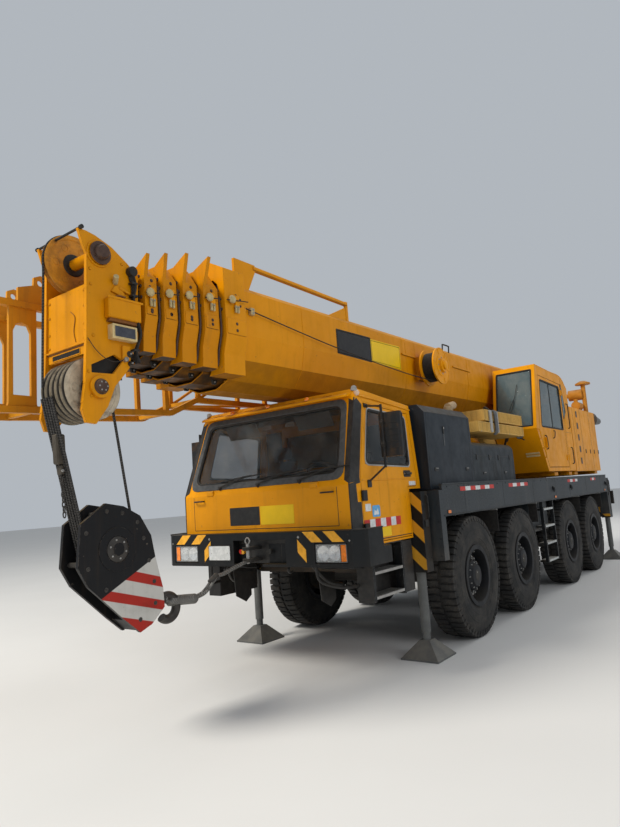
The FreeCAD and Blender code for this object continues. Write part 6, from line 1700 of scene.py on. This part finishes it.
def boom_base_details():
    a = Acc("boom_fittings")

    def put(u, v, h):
        return (u, 450 + h, v)

    def P(x, z):
        return untip_pt(x, z)
    # two blank panels on the left side
    for x0, x1, key in ((-965, -1712, "decal_black"), (-1712, -2450, "decal_yellow")):
        r = rounded([P(x0, 3300), P(x0, 3588), P(x1, 3606), P(x1, 3292)], 10, 3)
        a.slab(r, put, 2.0, key, 0.6)
        a.ring(grow(r, -14), grow(r, -19), put, 1.0, 2.3, "decal_yellow" if key == "decal_black" else "decal_black", 0.2)
    # the same on the right side, in front of the jib's rear bracket
    for x0, x1, key in ((-965, -1712, "decal_black"), (-1712, -2450, "decal_yellow")):
        r = rounded([P(x1, 3300), P(x1, 3592), P(x0, 3592), P(x0, 3300)], 10, 3)
        a.slab(r, lambda u, v, h: (u, -450 - h, v), 2.0, key, 0.6)
    # bars on the sides
    for x0, x1, z in ((-2491, -2864, 3517), (-4123, -4790, 3553)):
        p, q = P(x0, z), P(x1, z)
        for s in (1, -1):
            a.bar((p[0], s * 458, p[1]), (q[0], s * 458, q[1]), 16, 26, "boom_yellow", (0, 0, 1), 3)
    # grab handle on the boom's upper left edge
    p = [P(-3869, 3880), P(-3931, 3708), P(-4093, 3900), P(-4042, 3724)]
    a.tube([(p[0][0], 425, BT - 30), (p[0][0], 432, BT + 58), (p[0][0] - 16, 434, BT + 76), (p[2][0] + 16, 434, BT + 76),
            (p[2][0], 432, BT + 58), (p[2][0], 425, BT - 30)], 11, "blackpl", 8, 4)
    # weld seams across the boom and doubler plates
    for x in (-8200, -6600, -4700, -2620, -340):
        for s in (1, -1):
            a.tube([(x, s * 398, BT + 0.5), (x, s * 401, BT - 0.5), (x, s * 450, BT - 50), (x, s * 450.5, BT - 480),
                    (x, s * 400.5, BT - 710), (x, s * 280.5, BT - 890)], 3.2, "boom_yellow", 5, 1)
    for s in (1, -1):
        a.slab(rounded([(-7000, BT - 330), (-7000, BT - 110), (-7900, BT - 110), (-7900, BT - 330)][::1 if s > 0 else -1], 60, 5),
               lambda u, v, h, s=s: (u, s * (450 + h), v), 8, "boom_yellow", 3)
    # lug under the front end, small ones below the collar
    for x, z, h in ((586, 2905, 92), (408, 2900, 90)):
        u, v = P(x, z)
        a.prism([(u - 46, v + 2), (u - 22, v - h), (u + 22, v - h), (u + 46, v + 2)], "y", 186, 212, "yellow", 3)
        a.cyl((u, 180, v - h + 26), (u, 218, v - h + 26), 13, "steel", 14)
    # clamp of the signal cable on the collar's side and the cable back to its reel
    u, v = P(477, 3485)
    a.box(u - 30, u + 26, 448, 486, v - 34, v + 34, "brass", 5)
    a.bolt((u - 6, 486, v + 16), (0, 1, 0), 8, 8, "steel")
    a.bolt((u - 6, 486, v - 18), (0, 1, 0), 8, 8, "steel")
    c0, c1, c2, c3 = P(477, 3485), P(-963, 3332), P(-2300, 3205), P(-2985, 3166)
    a.tube([(640, 508, c0[1] + 12), (c0[0], 480, c0[1]), (c1[0], 500, c1[1]), (c2[0], 590, c2[1]), (c3[0], 664, c3[1])], 6, "rubber", 8, 6)
    # rear end closed by a plate with a hand hole and pipes
    h = [(400, 0), (450, 50), (450, 480), (400, 710), (280, 890), (120, 960)]
    pts = [(y - 14 if y > 150 else y, BT - d - (14 if d == 0 else -14 if d > 900 else 0)) for y, d in h]
    ring2 = pts + [(-y, z) for y, z in reversed(pts)]
    a.prism([(y, z) for y, z in ring2], "x", -9425, -9405, "boom_yellow", 2)
    for y in (-150, 150):
        a.cyl((-9400, y, 3330), (-9470, y, 3330), 74, "boom_yellow", 28)
        a.cyl((-9440, y, 3330), (-9490, y, 3330), 40, "steel", 20)
    for i in range(10):
        t = 2 * pi * i / 10
        a.bolt((-9425, 330 * cos(t), 3400 + 330 * sin(t)), (-1, 0, 0), 12, 9, "steel")
    # foot pins' caps
    for s in (1, -1):
        a.lathe((PIVOT[0], s * 560, PIVOT[1]), (0, s, 0), [(0, 0), (0, 84), (8, 84), (16, 70), (18, 30), (18, 0)], "brownpin", 28)
        for i in range(6):
            t = 2 * pi * i / 6
            a.bolt((PIVOT[0] + 55 * cos(t), s * 574, PIVOT[1] + 55 * sin(t)), (0, s, 0), 9, 7, "steel", False)
    # rope guides on top of the boom
    for x in (-8700, -6200, -3600, -1000):
        a.box(x - 12, x + 12, -110, -32, BT - 2, BT + 5, "boom_yellow", 1.5)
        for y in (-106, -36):
            a.box(x - 10, x + 10, y - 5, y + 5, BT, BT + 44, "boom_yellow", 2)
        a.cyl((x, -106, BT + 38), (x, -36, BT + 38), 9, "steel", 12)
    tipped(a)
    a.done("boom", "crane_yellow")
    b = Acc("boom_top_rope")
    b.tube([(-9560, -71, BT + 18), (-5000, -71, BT + 14), (0, -71, BT + 14), (606, -71, BT + 16)], 9, "rope", 8, 3)
    tipped(b)
    b.done("boom", "rope")
    # cable reel: turns of cable between the flanges, rim and motor
    r = Acc("reel_fittings")
    prof = [(586, 151)]
    for i in range(14):
        c = 592 + i * 12.2
        for t in (-0.5, -0.17, 0.17, 0.5):
            prof.append((c + t * 11.8, 196 + (5.0 if abs(t) < 0.3 else 0.0)))
    prof.append((755, 151))
    r.lathe((-3000, 0, 3360), (0, 1, 0), prof, "cable", 40)
    for y in (563, 771):
        r.lathe((-3000, 0, 3360), (0, 1, 0), [(y, 236), (y, 252), (y + 6, 252), (y + 6, 236), (y, 236)], "yellow", 44)
    r.lathe((-3000, 774, 3360), (0, 1, 0), [(0, 150), (4, 150), (10, 128), (12, 96), (44, 92), (48, 62), (70, 60), (74, 52), (76, 0)],
            "yellow", 36)
    for i in range(8):
        t = 2 * pi * i / 8
        r.bolt((-3000 + 112 * cos(t), 785, 3360 + 112 * sin(t)), (0, 1, 0), 8, 6, "steel")
    for i in range(6):
        t = 2 * pi * i / 6 + 0.2
        p = Vector((-3000 + 165 * cos(t), 776, 3360 + 165 * sin(t)))
        q = Vector((-3000 + 238 * cos(t), 776, 3360 + 238 * sin(t)))
        r.bar(p, q, 14, 8, "yellow", (0, 1, 0), 2)
    r.done("cable_reel", "crane_yellow")
    # luffing cylinder: pipe along the barrel, gland and pin caps
    g = Acc("luff_cylinder_fittings")
    d = Vector((5200, 0, 510)).normalized()
    o = Vector((-8300, 0, 2150))
    n = Vector((-d.z, 0, d.x))
    for y in (-60, 60):
        P0 = [o + d * s_ + n * (-(h2)) + Vector((0, y, 0)) for s_, h2 in ((420, 160), (520, 184), (2500, 184), (2640, 164))]
        g.tube([tuple(p) for p in P0], 12, "yellow", 8, 4)
    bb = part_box("luff_barrel")
    Lb = ((bb[1][0] * 1000 - SHIFT) - (-8300)) / d.x - 30
    g.lathe(tuple(o + d * (Lb - 130)), tuple(d), [(0, 166), (0, 176), (90, 176), (96, 170), (112, 150), (112, 120), (0, 120)], "yellow", 40)
    for s_ in (600, 1500, 2400):
        g.lathe(tuple(o + d * s_), tuple(d), [(0, 166), (0, 172), (40, 172), (40, 166), (0, 166)], "yellow", 40)
    g.done("luff_barrel", "crane_yellow")


# ------------------------------------------------------------------------------------- sheave head
def head_details():
    a = Acc("head_fittings")
    # side box, framed blank display, switch gear
    a.box(1668, 1972, 288, 352, 3176, 3336, "head_yellow", 8)
    a.box(1655, 1985, 352, 358, 3325, 3343, "head_yellow", 2)
    a.prism([(1675, 3150), (1960, 3150), (1945, 3180), (1690, 3180)], "y", 290, 330, "rusty", 3)

    def put(u, v, h):
        return (u, 290 + h, v)
    fr = rounded([(1945, 3012), (1945, 3128), (1716, 3128), (1716, 3012)], 8, 3)
    a.slab(fr, put, 62, "cream", 3)
    sc = rounded([(1925, 3029), (1925, 3111), (1736, 3111), (1736, 3029)], 6, 3)
    a.ring(grow(sc, 6), sc, put, 60, 66, "cream", 2)
    a.slab(sc, put, 1.5, "dispblue", 0.4, 61.5)
    # dark cable bundle down the rear edge of the plate, clamps, small fittings
    for k, dy in enumerate((0, 16, 30)):
        a.tube([(1735 - k * 8, 300 + dy, 3560), (1716 - k * 6, 306 + dy, 3480), (1716 + k * 5, 304 + dy, 3353), (1706 - k * 4, 304 + dy, 3206),
                (1676 + k * 6, 330 + dy, 3080), (1708 + k * 3, 306 + dy, 2944), (1698 - k * 6, 303 + dy, 2848)], 11 - k, "rubber", 8, 6)
    for z in (3500, 3396, 2950):
        a.box(1688, 1744, 290, 344, z - 9, z + 9, "blackpl", 3)
    a.lathe((1722, 290, 3600), (0, 1, 0), [(0, 42), (24, 44), (48, 40), (54, 20), (56, 0)], "blackpl", 20)
    for dx, dz, r_ in ((-8, -60, 26), (22, -104, 20), (-20, -132, 16)):
        a.lathe((1775 + dx, 290, 2975 + dz), (0, 1, 0), [(0, r_), (26, r_), (34, r_ * 0.7), (40, 0)], "steel" if r_ == 20 else "blackpl", 16)
        a.bolt((1775 + dx, 328, 2975 + dz), (0, 1, 0), 8, 8, "steel", False)
    a.box(1756, 1830, 288, 312, 2862, 2980, "head_yellow", 4)
    # bracket with pin and its arm, above the box
    a.cyl((1866, 290, 3478), (1900, 352, 3510), 21, "brass", 16)
    a.bar((1845, 300, 3440), (1740, 300, 3412), 20, 26, "head_yellow", (0, 1, 0), 4)
    a.prism([(1912, 3400), (1880, 3450), (1838, 3462), (1790, 3400), (1800, 3372)], "y", 289, 306, "head_yellow", 3)
    a.tube([(1880, 306, 3360), (1850, 326, 3368), (1810, 326, 3364), (1792, 306, 3376)], 8, "rusty", 8, 4)
    # pins of both sheaves
    a.lathe((2010, 316, 3679), (0, 1, 0), [(0, 92), (3, 92), (6, 84), (6, 62), (4, 60), (6, 58), (40, 54), (50, 46), (52, 0)], "brownpin", 30)
    a.ring(arc(2010, 3679, 108, 0, 360, 36)[:-1], arc(2010, 3679, 88, 0, 360, 36)[:-1], put, -1, 10, "head_yellow", 3)
    a.lathe((2033, 318, 2630), (0, 1, 0), [(0, 60), (4, 60), (8, 54), (24, 50), (32, 40), (34, 0)], "brownpin", 30)
    for i in range(6):
        t = 2 * pi * i / 6
        a.bolt((2033 + 34 * cos(t), 342, 2630 + 34 * sin(t)), (0, 1, 0), 7, 10, "steel", False)
    for s in (-1,):
        for cx, cz in ((2010, 3679), (2033, 2630)):
            a.lathe((cx, -290, cz), (0, -1, 0), [(0, 88), (10, 86), (14, 60), (24, 54), (26, 0)], "brownpin", 30)
    # painted shade: a black plate behind the side plate's opening stands for the shade inside it, rusty drip edge below
    # the box
    a.box(1790, 2108, 232, 240, 2716, 2925, "grease_and_shade", 1)
    # cross flange, slot and lip on the front face
    def hx(z):
        return 2116 - (z - 2885) * 8.0 / 540.0
    a.box(hx(2972) - 2, hx(2972) + 16, -262, 298, 2962, 2976, "head_yellow", 2)
    a.box(hx(2955) - 2, hx(2955) + 5, -258, 262, 2950, 2962, "rusty", 1)
    sl = rounded([(180, 2900), (180, 2938), (-190, 2938), (-190, 2900)], 8, 4)

    def putx(u, v, h):
        return (hx(v) + h, u, v)
    # painted shade: the slot is a flat black inset standing for the shade inside it
    a.slab(sl, putx, 1.4, "grease_and_shade", 0.3)
    a.ring(grow(sl, 7), grow(sl, -1), putx, -1, 4, "head_yellow", 1.2)
    for y in (-235, 235):
        for z in (3010, 3120, 3260, 3380):
            a.bolt((hx(z), y, z), (1, 0, 0), 9, 7, "head_yellow")
    a.tube([(hx(3200) + 2, 60, 3250), (hx(3150) + 3, 120, 3190), (hx(3060) + 3, 105, 3085), (hx(3010) + 3, 130, 2996)], 3, "rusty", 6, 5)
    # stiff edges of the side plates
    for s in (1, -1):
        pts = [(2184, 3838), (2150, 3734), (2115, 3652), (2121, 3378), (2131, 2975), (2148, 2646), (2172, 2500)]
        for p, q in zip(pts[2:], pts[3:]):
            a.bar((p[0] - 2, s * 276, p[1]), (q[0] - 2, s * 276, q[1]), 34, 10, "head_yellow", (1, 0, 0), 2.5)
        for x, z in ((2090, 3540), (2088, 3420), (1700, 3540), (1920, 3745), (2076, 3020), (1800, 3650), (2100, 2560), (2120, 2740)):
            a.bolt((x, s * 290, z), (0, s, 0), 10, 7, "head_yellow")
    # rope keeper across the upper sheave opening
    a.cyl((2166, 306, 3846), (2166, -306, 3846), 10, "blackpl", 12)
    for s in (1, -1):
        a.cyl((2166, s * 292, 3846), (2166, s * 318, 3846), 17, "blackpl", 12)
    # thin wire from the switch down the face to the weight
    a.tube([(2128, 300, 2992), (2060, 312, 2900), (1960, 322, 2836), (1850, 318, 2850), (1790, 305, 2900)], 3.2, "rubber", 6, 6)
    # small guide roller behind the head's top
    a.box(1652, 1700, -118, -108, 3640, 3900, "head_yellow", 3)
    a.box(1652, 1700, -34, -24, 3640, 3900, "head_yellow", 3)
    a.cyl((1674, -108, 3868), (1674, -34, 3868), 22, "sheave_y", 20)
    a.done("boom_5", "crane_yellow")
    # hoist rope over the upper sheave and down the front
    b = Acc("head_rope")
    R = 246.0
    pts = [(1674, -71, 3640), (1652, -71, 3800), (1660, -71, 3880), (1700, -71, 3896), (1830, -71, 3909)]
    for i in range(8):
        t = radians(92 - i * 13.0)
        pts.append((2010 + R * cos(t), -71, 3679 + R * sin(t)))
    pts += [(2257, -71, 3500), (2266, -71, 3100), (2272, -71, 2760), (2273, -71, 2660)]
    b.tube(pts, 10, "rope", 8, 4)
    b.done("boom_5", "rope")
    # upper sheave: raised rim and dark hub; lower ones: worn rims
    c = Acc("upper_sheave_rim")
    for y0, s in ((-95, -1), (-47, 1)):
        c.lathe((2010, y0, 3679), (0, s, 0), [(-2, 206), (3.5, 212), (3.5, 244), (0, 249), (-4, 249)], "sheave_y", 56)
        c.lathe((2010, y0, 3679), (0, s, 0), [(-2, 46.5), (12, 46.5), (12, 70), (9, 86), (3, 92), (-2, 92)], "blackpl", 36)
        for i in range(6):
            t = 2 * pi * i / 6
            c.lathe((2010 + 150 * cos(t), y0, 3679 + 150 * sin(t)), (0, s, 0), [(-1, 30), (2.2, 30), (2.2, 24), (-1, 24)], "sheave_y", 18)
    c.done("top_sheave", "sheave_nylon")
    e = Acc("lower_sheave_rims")
    for m in (-70.0, -5.0, 60.0, 125.0, 190.0):
        for s in (1, -1):
            e.lathe((2033, m + s * 24, 2630), (0, s, 0), [(-3, 196), (2.6, 202), (2.6, 232), (0, 239), (-4, 239)], "sheave", 56)
        e.lathe((2033, m, 2630), (0, 1, 0), [(-9, 208), (-9, 213), (0, 210), (9, 213), (9, 208)], "grease_and_shade", 56)
    for s, y in ((1, 214), (-1, -94)):
        e.lathe((2033, y, 2630), (0, s, 0), [(0, 46.5), (14, 46.5), (14, 74), (8, 96), (2, 104), (0, 104)], "grease_and_shade", 36)
        for i in range(6):
            t = 2 * pi * i / 6
            e.lathe((2033 + 148 * cos(t), y, 2630 + 148 * sin(t)), (0, s, 0), [(-1, 32), (2.4, 32), (2.4, 25), (-1, 25)], "sheave", 18)
    e.done("lower_sheaves", "sheave_nylon")


BS = (1791.0, 1418.0)


def hook_details():
    a = Acc("hook_block_fittings")
    x, z = BS
    for s in (1, -1):
        a.lathe((x, s * 124, z), (0, s, 0), [(0, 96), (6, 96), (10, 86), (12, 52), (17, 50), (17, 0)], "hookdark", 32)
        for i in range(6):
            t = 2 * pi * i / 6 + 0.3
            a.bolt((x + 72 * cos(t), s * 133, z + 72 * sin(t)), (0, s, 0), 8, 5, "steel", False)
        for u, v in ((1600, 1610), (1545, 1480), (1500, 1300), (1455, 1130), (1450, 960), (1600, 860), (1900, 1130), (2050, 1300),
                     (2060, 1560), (1880, 1710), (1740, 1690)):
            a.bolt((u, s * 125, v), (0, s, 0), 13, 8, "hookdark")
        # doubler plate round the axle
        a.ring(arc(x, z, 168, 0, 360, 32)[:-1], arc(x, z, 100, 0, 360, 32)[:-1], lambda u, v, h, s=s: (u, s * (125 + h), v), 0, 5,
               "hookblock", 1.5)
    # spacer bolts through both cheeks
    for u, v in ((1560, 1560), (1880, 1690), (2060, 1330)):
        a.cyl((u, -95, v), (u, 95, v), 20, "hookdark", 14)
    a.done("hook_block", "hook_paint")
    # socket of the rope's dead end and the chain above the block
    b = Acc("rope_socket")
    b.block((2190, 0, 2190), ((36, 0, 0), (0, 36, 0), (5, 0, 112)), "socket", 10)
    b.block((2180, 0, 2036), ((13, 0, 0), (0, 30, 0), (0, 0, 34)), "socket", 5)
    b.cyl((2180, -36, 2030), (2180, 36, 2030), 12, "steel", 14)
    for i in range(9):
        zc = 2004 - i * 37
        xc = 2172 - i * 2.2
        k = i % 2
        d1 = Vector((0, 1, 0)) if k else Vector((1, 0, 0))
        pp = []
        for j in range(10):
            t = 2 * pi * j / 10
            pp.append(tuple(Vector((xc, 0, zc)) + d1 * 11 * cos(t) + Vector((0, 0, 1)) * 24 * sin(t)))
        b.tube(pp, 5.2, "hookdark", 6, 2, True)
    b.done("hook_block", "hook_paint")


def sling_details():
    """lashing from the hook to the tow clevis below the bumper"""
    a = Acc("hook_lashing")
    for s in (1, -1):
        pp = [(1262, s * 30, 968), (1250, s * 34, 934), (1160, s * 32, 905), (1010, s * 30, 902), (860, s * 27, 920), (780, s * 22, 952),
              (661, s * 17, 1047), (560, s * 17, 1062), (420, s * 15, 1096), (300, s * 13, 1122), (214, s * 8, 1136)]
        a.tube(pp, 13, "sling", 8, 5)
    a.tube([(1262, -30, 966), (1270, -16, 984), (1272, 0, 990), (1270, 16, 984), (1262, 30, 966)], 13, "sling", 8, 4)
    a.lathe((1252, 0, 934), (-1, 0, -0.10), [(30, 0), (30, 30), (44, 44), (330, 44), (350, 30), (350, 0)], "sling", 18)
    a.lathe((676, 0, 1040), (-0.86, 0, 0.5), [(-60, 0), (-58, 30), (40, 30), (44, 0)], "hookdark", 16)
    a.block((178, 0, 1141), ((34, 0, 0), (0, 26, 0), (0, 0, 26)), "hookdark", 8)
    a.done("carrier", "rope")


def outrigger_details():
    for name, side, bx, jx, jy, hx_, hy in (("front_left", 1, -1300, -1230, 1105, 75, 115), ("front_right", -1, -1140, -1230, 1205, 75, 85),
                                            ("rear_left", 1, -9654, -9705, 1197, 115, 85), ("rear_right", -1, -9814, -9763, 1197, 115, 85)):
        a = Acc("jack_fittings_" + name)
        y = side * jy
        a.lathe((jx, y, 0), (0, 0, 1), [(92, 50.4), (92, 62), (116, 62), (122, 56), (122, 50.4)], "padsteel", 28)
        for i in range(6):
            t = 2 * pi * i / 6
            a.block((jx + 108 * cos(t), y + 108 * sin(t), 78), ((44 * cos(t), 44 * sin(t), -16), (-5 * sin(t), 5 * cos(t), 0), (0, 0, 18)),
                    "padsteel", 2)
        a.done("jack_" + name, "steel")
        b = Acc("column_fittings_" + name)
        for z in (1000, 1560):
            for s2 in (1, -1):
                b.bolt((jx + s2 * (hx_ - 22), y + side * hy, z), (0, side, 0), 10, 6, "blackpl")
        b.tube([(jx - hx_ * 0.5, y + side * (hy - 4), 1650), (jx - hx_ * 0.5, y + side * (hy + 18), 1620),
                (jx - hx_ * 0.5, y + side * (hy + 18), 1430), (jx - hx_ * 0.5, y + side * (hy - 4), 1400)], 8, "rubber", 8, 5)
        b.box(jx - 34, jx + 34, y + side * (hy - 1), y + side * (hy + 12), 1320, 1392, "blackpl", 4)
        b.done("beam_" + name, "frame_dark")


def jib_details():
    a = Acc("jib_lattice")
    z0, z1 = 2988.0, 3606.0
    for y in (-640.0, -1090.0):
        k = 0
        for x in range(-6400, 160, 1092):
            p, q = (x + 46, z0), (min(x + 1092, 140), z1)
            if k % 2:
                p, q = (p[0], z1), (q[0], z0)
            a.tube([(p[0], y, p[1]), (q[0], y, q[1])], 17, "jib_yellow", 8, 1)
            k += 1
    for x, s in ((-6400, 1), (-5308, -1), (-4216, 1), (-3124, -1), (-2032, 1), (-940, -1)):
        for z in (2960.0, 3634.0):
            p, q = (-1062.0, -668.0)[::s]
            a.tube([(x + 46, p, z), (x + 1092, q, z)], 13, "jib_yellow", 8, 1)
    for y in (-640.0, -1090.0):
        for z in (2960.0, 3634.0):
            for x in (-6400,):
                a.cyl((x - 1, y, z), (x + 46, y, z), 34, "jib_yellow", 20)
                a.cyl((x + 20, y - 36, z), (x + 20, y + 36, z), 13, "steel", 12)
    tipped(a)
    a.done("boom", "crane_yellow")


boom_sections()
boom_base_details()
head_details()
hook_details()
sling_details()
outrigger_details()
jib_details()


# ------------------------------------------------------------------------------------- stage
def stage():
    g = G("studio_floor")
    n = g.noise(0.6, 4.0, 0.5)
    g.set(Base_Color=g.mix(g.step(n, 0.3, 0.7), (0.625, 0.61, 0.585), (0.64, 0.625, 0.60)), Roughness=0.85)
    me = bpy.data.meshes.new("studio_floor")
    R = 90.0
    me.from_pydata([(-R, -R, 0), (R, -R, 0), (R, R, 0), (-R, R, 0)], [], [(0, 1, 2, 3)])
    ob = bpy.data.objects.new("studio_floor", me)
    bpy.context.scene.collection.objects.link(ob)
    me.materials.append(g.m)
    w = bpy.data.worlds.new("soft_sky")
    bpy.context.scene.world = w
    w.use_nodes = True
    bg = w.node_tree.nodes["Background"]
    bg.inputs[0].default_value = (0.80, 0.86, 0.93, 1.0)
    bg.inputs[1].default_value = 0.55

    def area(name, loc, target, size, power, col):
        li = bpy.data.lights.new(name, "AREA")
        li.shape = "DISK"
        li.size = size
        li.energy = power
        li.color = col
        o = bpy.data.objects.new(name, li)
        bpy.context.scene.collection.objects.link(o)
        o.location = loc
        o.visible_glossy = False
        d = Vector(target) - Vector(loc)
        o.rotation_euler = d.to_track_quat("-Z", "Y").to_euler()
    # soft main light from ahead of the crane and its right, high up; weak fill from its left
    area("key_soft", (17.0, -7.0, 17.0), (1.0, 0.0, 1.6), 7.0, 4900.0, (1.0, 0.97, 0.90))
    area("fill_soft", (6.0, 18.0, 9.0), (0.0, 0.0, 1.5), 10.0, 900.0, (0.93, 0.96, 1.0))
    area("rear_soft", (-18.0, 4.0, 12.0), (-3.0, 0.0, 2.0), 9.0, 1000.0, (1.0, 0.98, 0.95))


# camera: fitted to the photograph, in the carrier's coordinates in metres
CAM_F, CAM_X, CAM_Y, CAM_Z = 619.438, 4.752, 4.238, 1.700
CAM_YAW, CAM_PITCH, CAM_ROLL = 0.6376, 0.1357, -0.0708


def camera():
    f = Vector((-cos(CAM_YAW) * cos(CAM_PITCH), -sin(CAM_YAW) * cos(CAM_PITCH), sin(CAM_PITCH)))
    r = f.cross(Vector((0, 0, 1))).normalized()
    u = r.cross(f)
    r2 = r * cos(CAM_ROLL) + u * sin(CAM_ROLL)
    u2 = -r * sin(CAM_ROLL) + u * cos(CAM_ROLL)
    cd = bpy.data.cameras.new("photo_camera")
    cd.sensor_fit = "AUTO"
    cd.sensor_width = 36.0
    cd.lens = CAM_F / 827.0 * 36.0
    cd.clip_end = 300.0
    co = bpy.data.objects.new("photo_camera", cd)
    bpy.context.scene.collection.objects.link(co)
    m = Matrix((r2, u2, -f)).transposed().to_4x4()
    m.translation = Vector((CAM_X + SHIFT / 1000.0, CAM_Y, CAM_Z))
    co.matrix_world = m
    bpy.context.scene.camera = co


bpy.context.scene.view_settings.view_transform = "Standard"
stage()
camera()
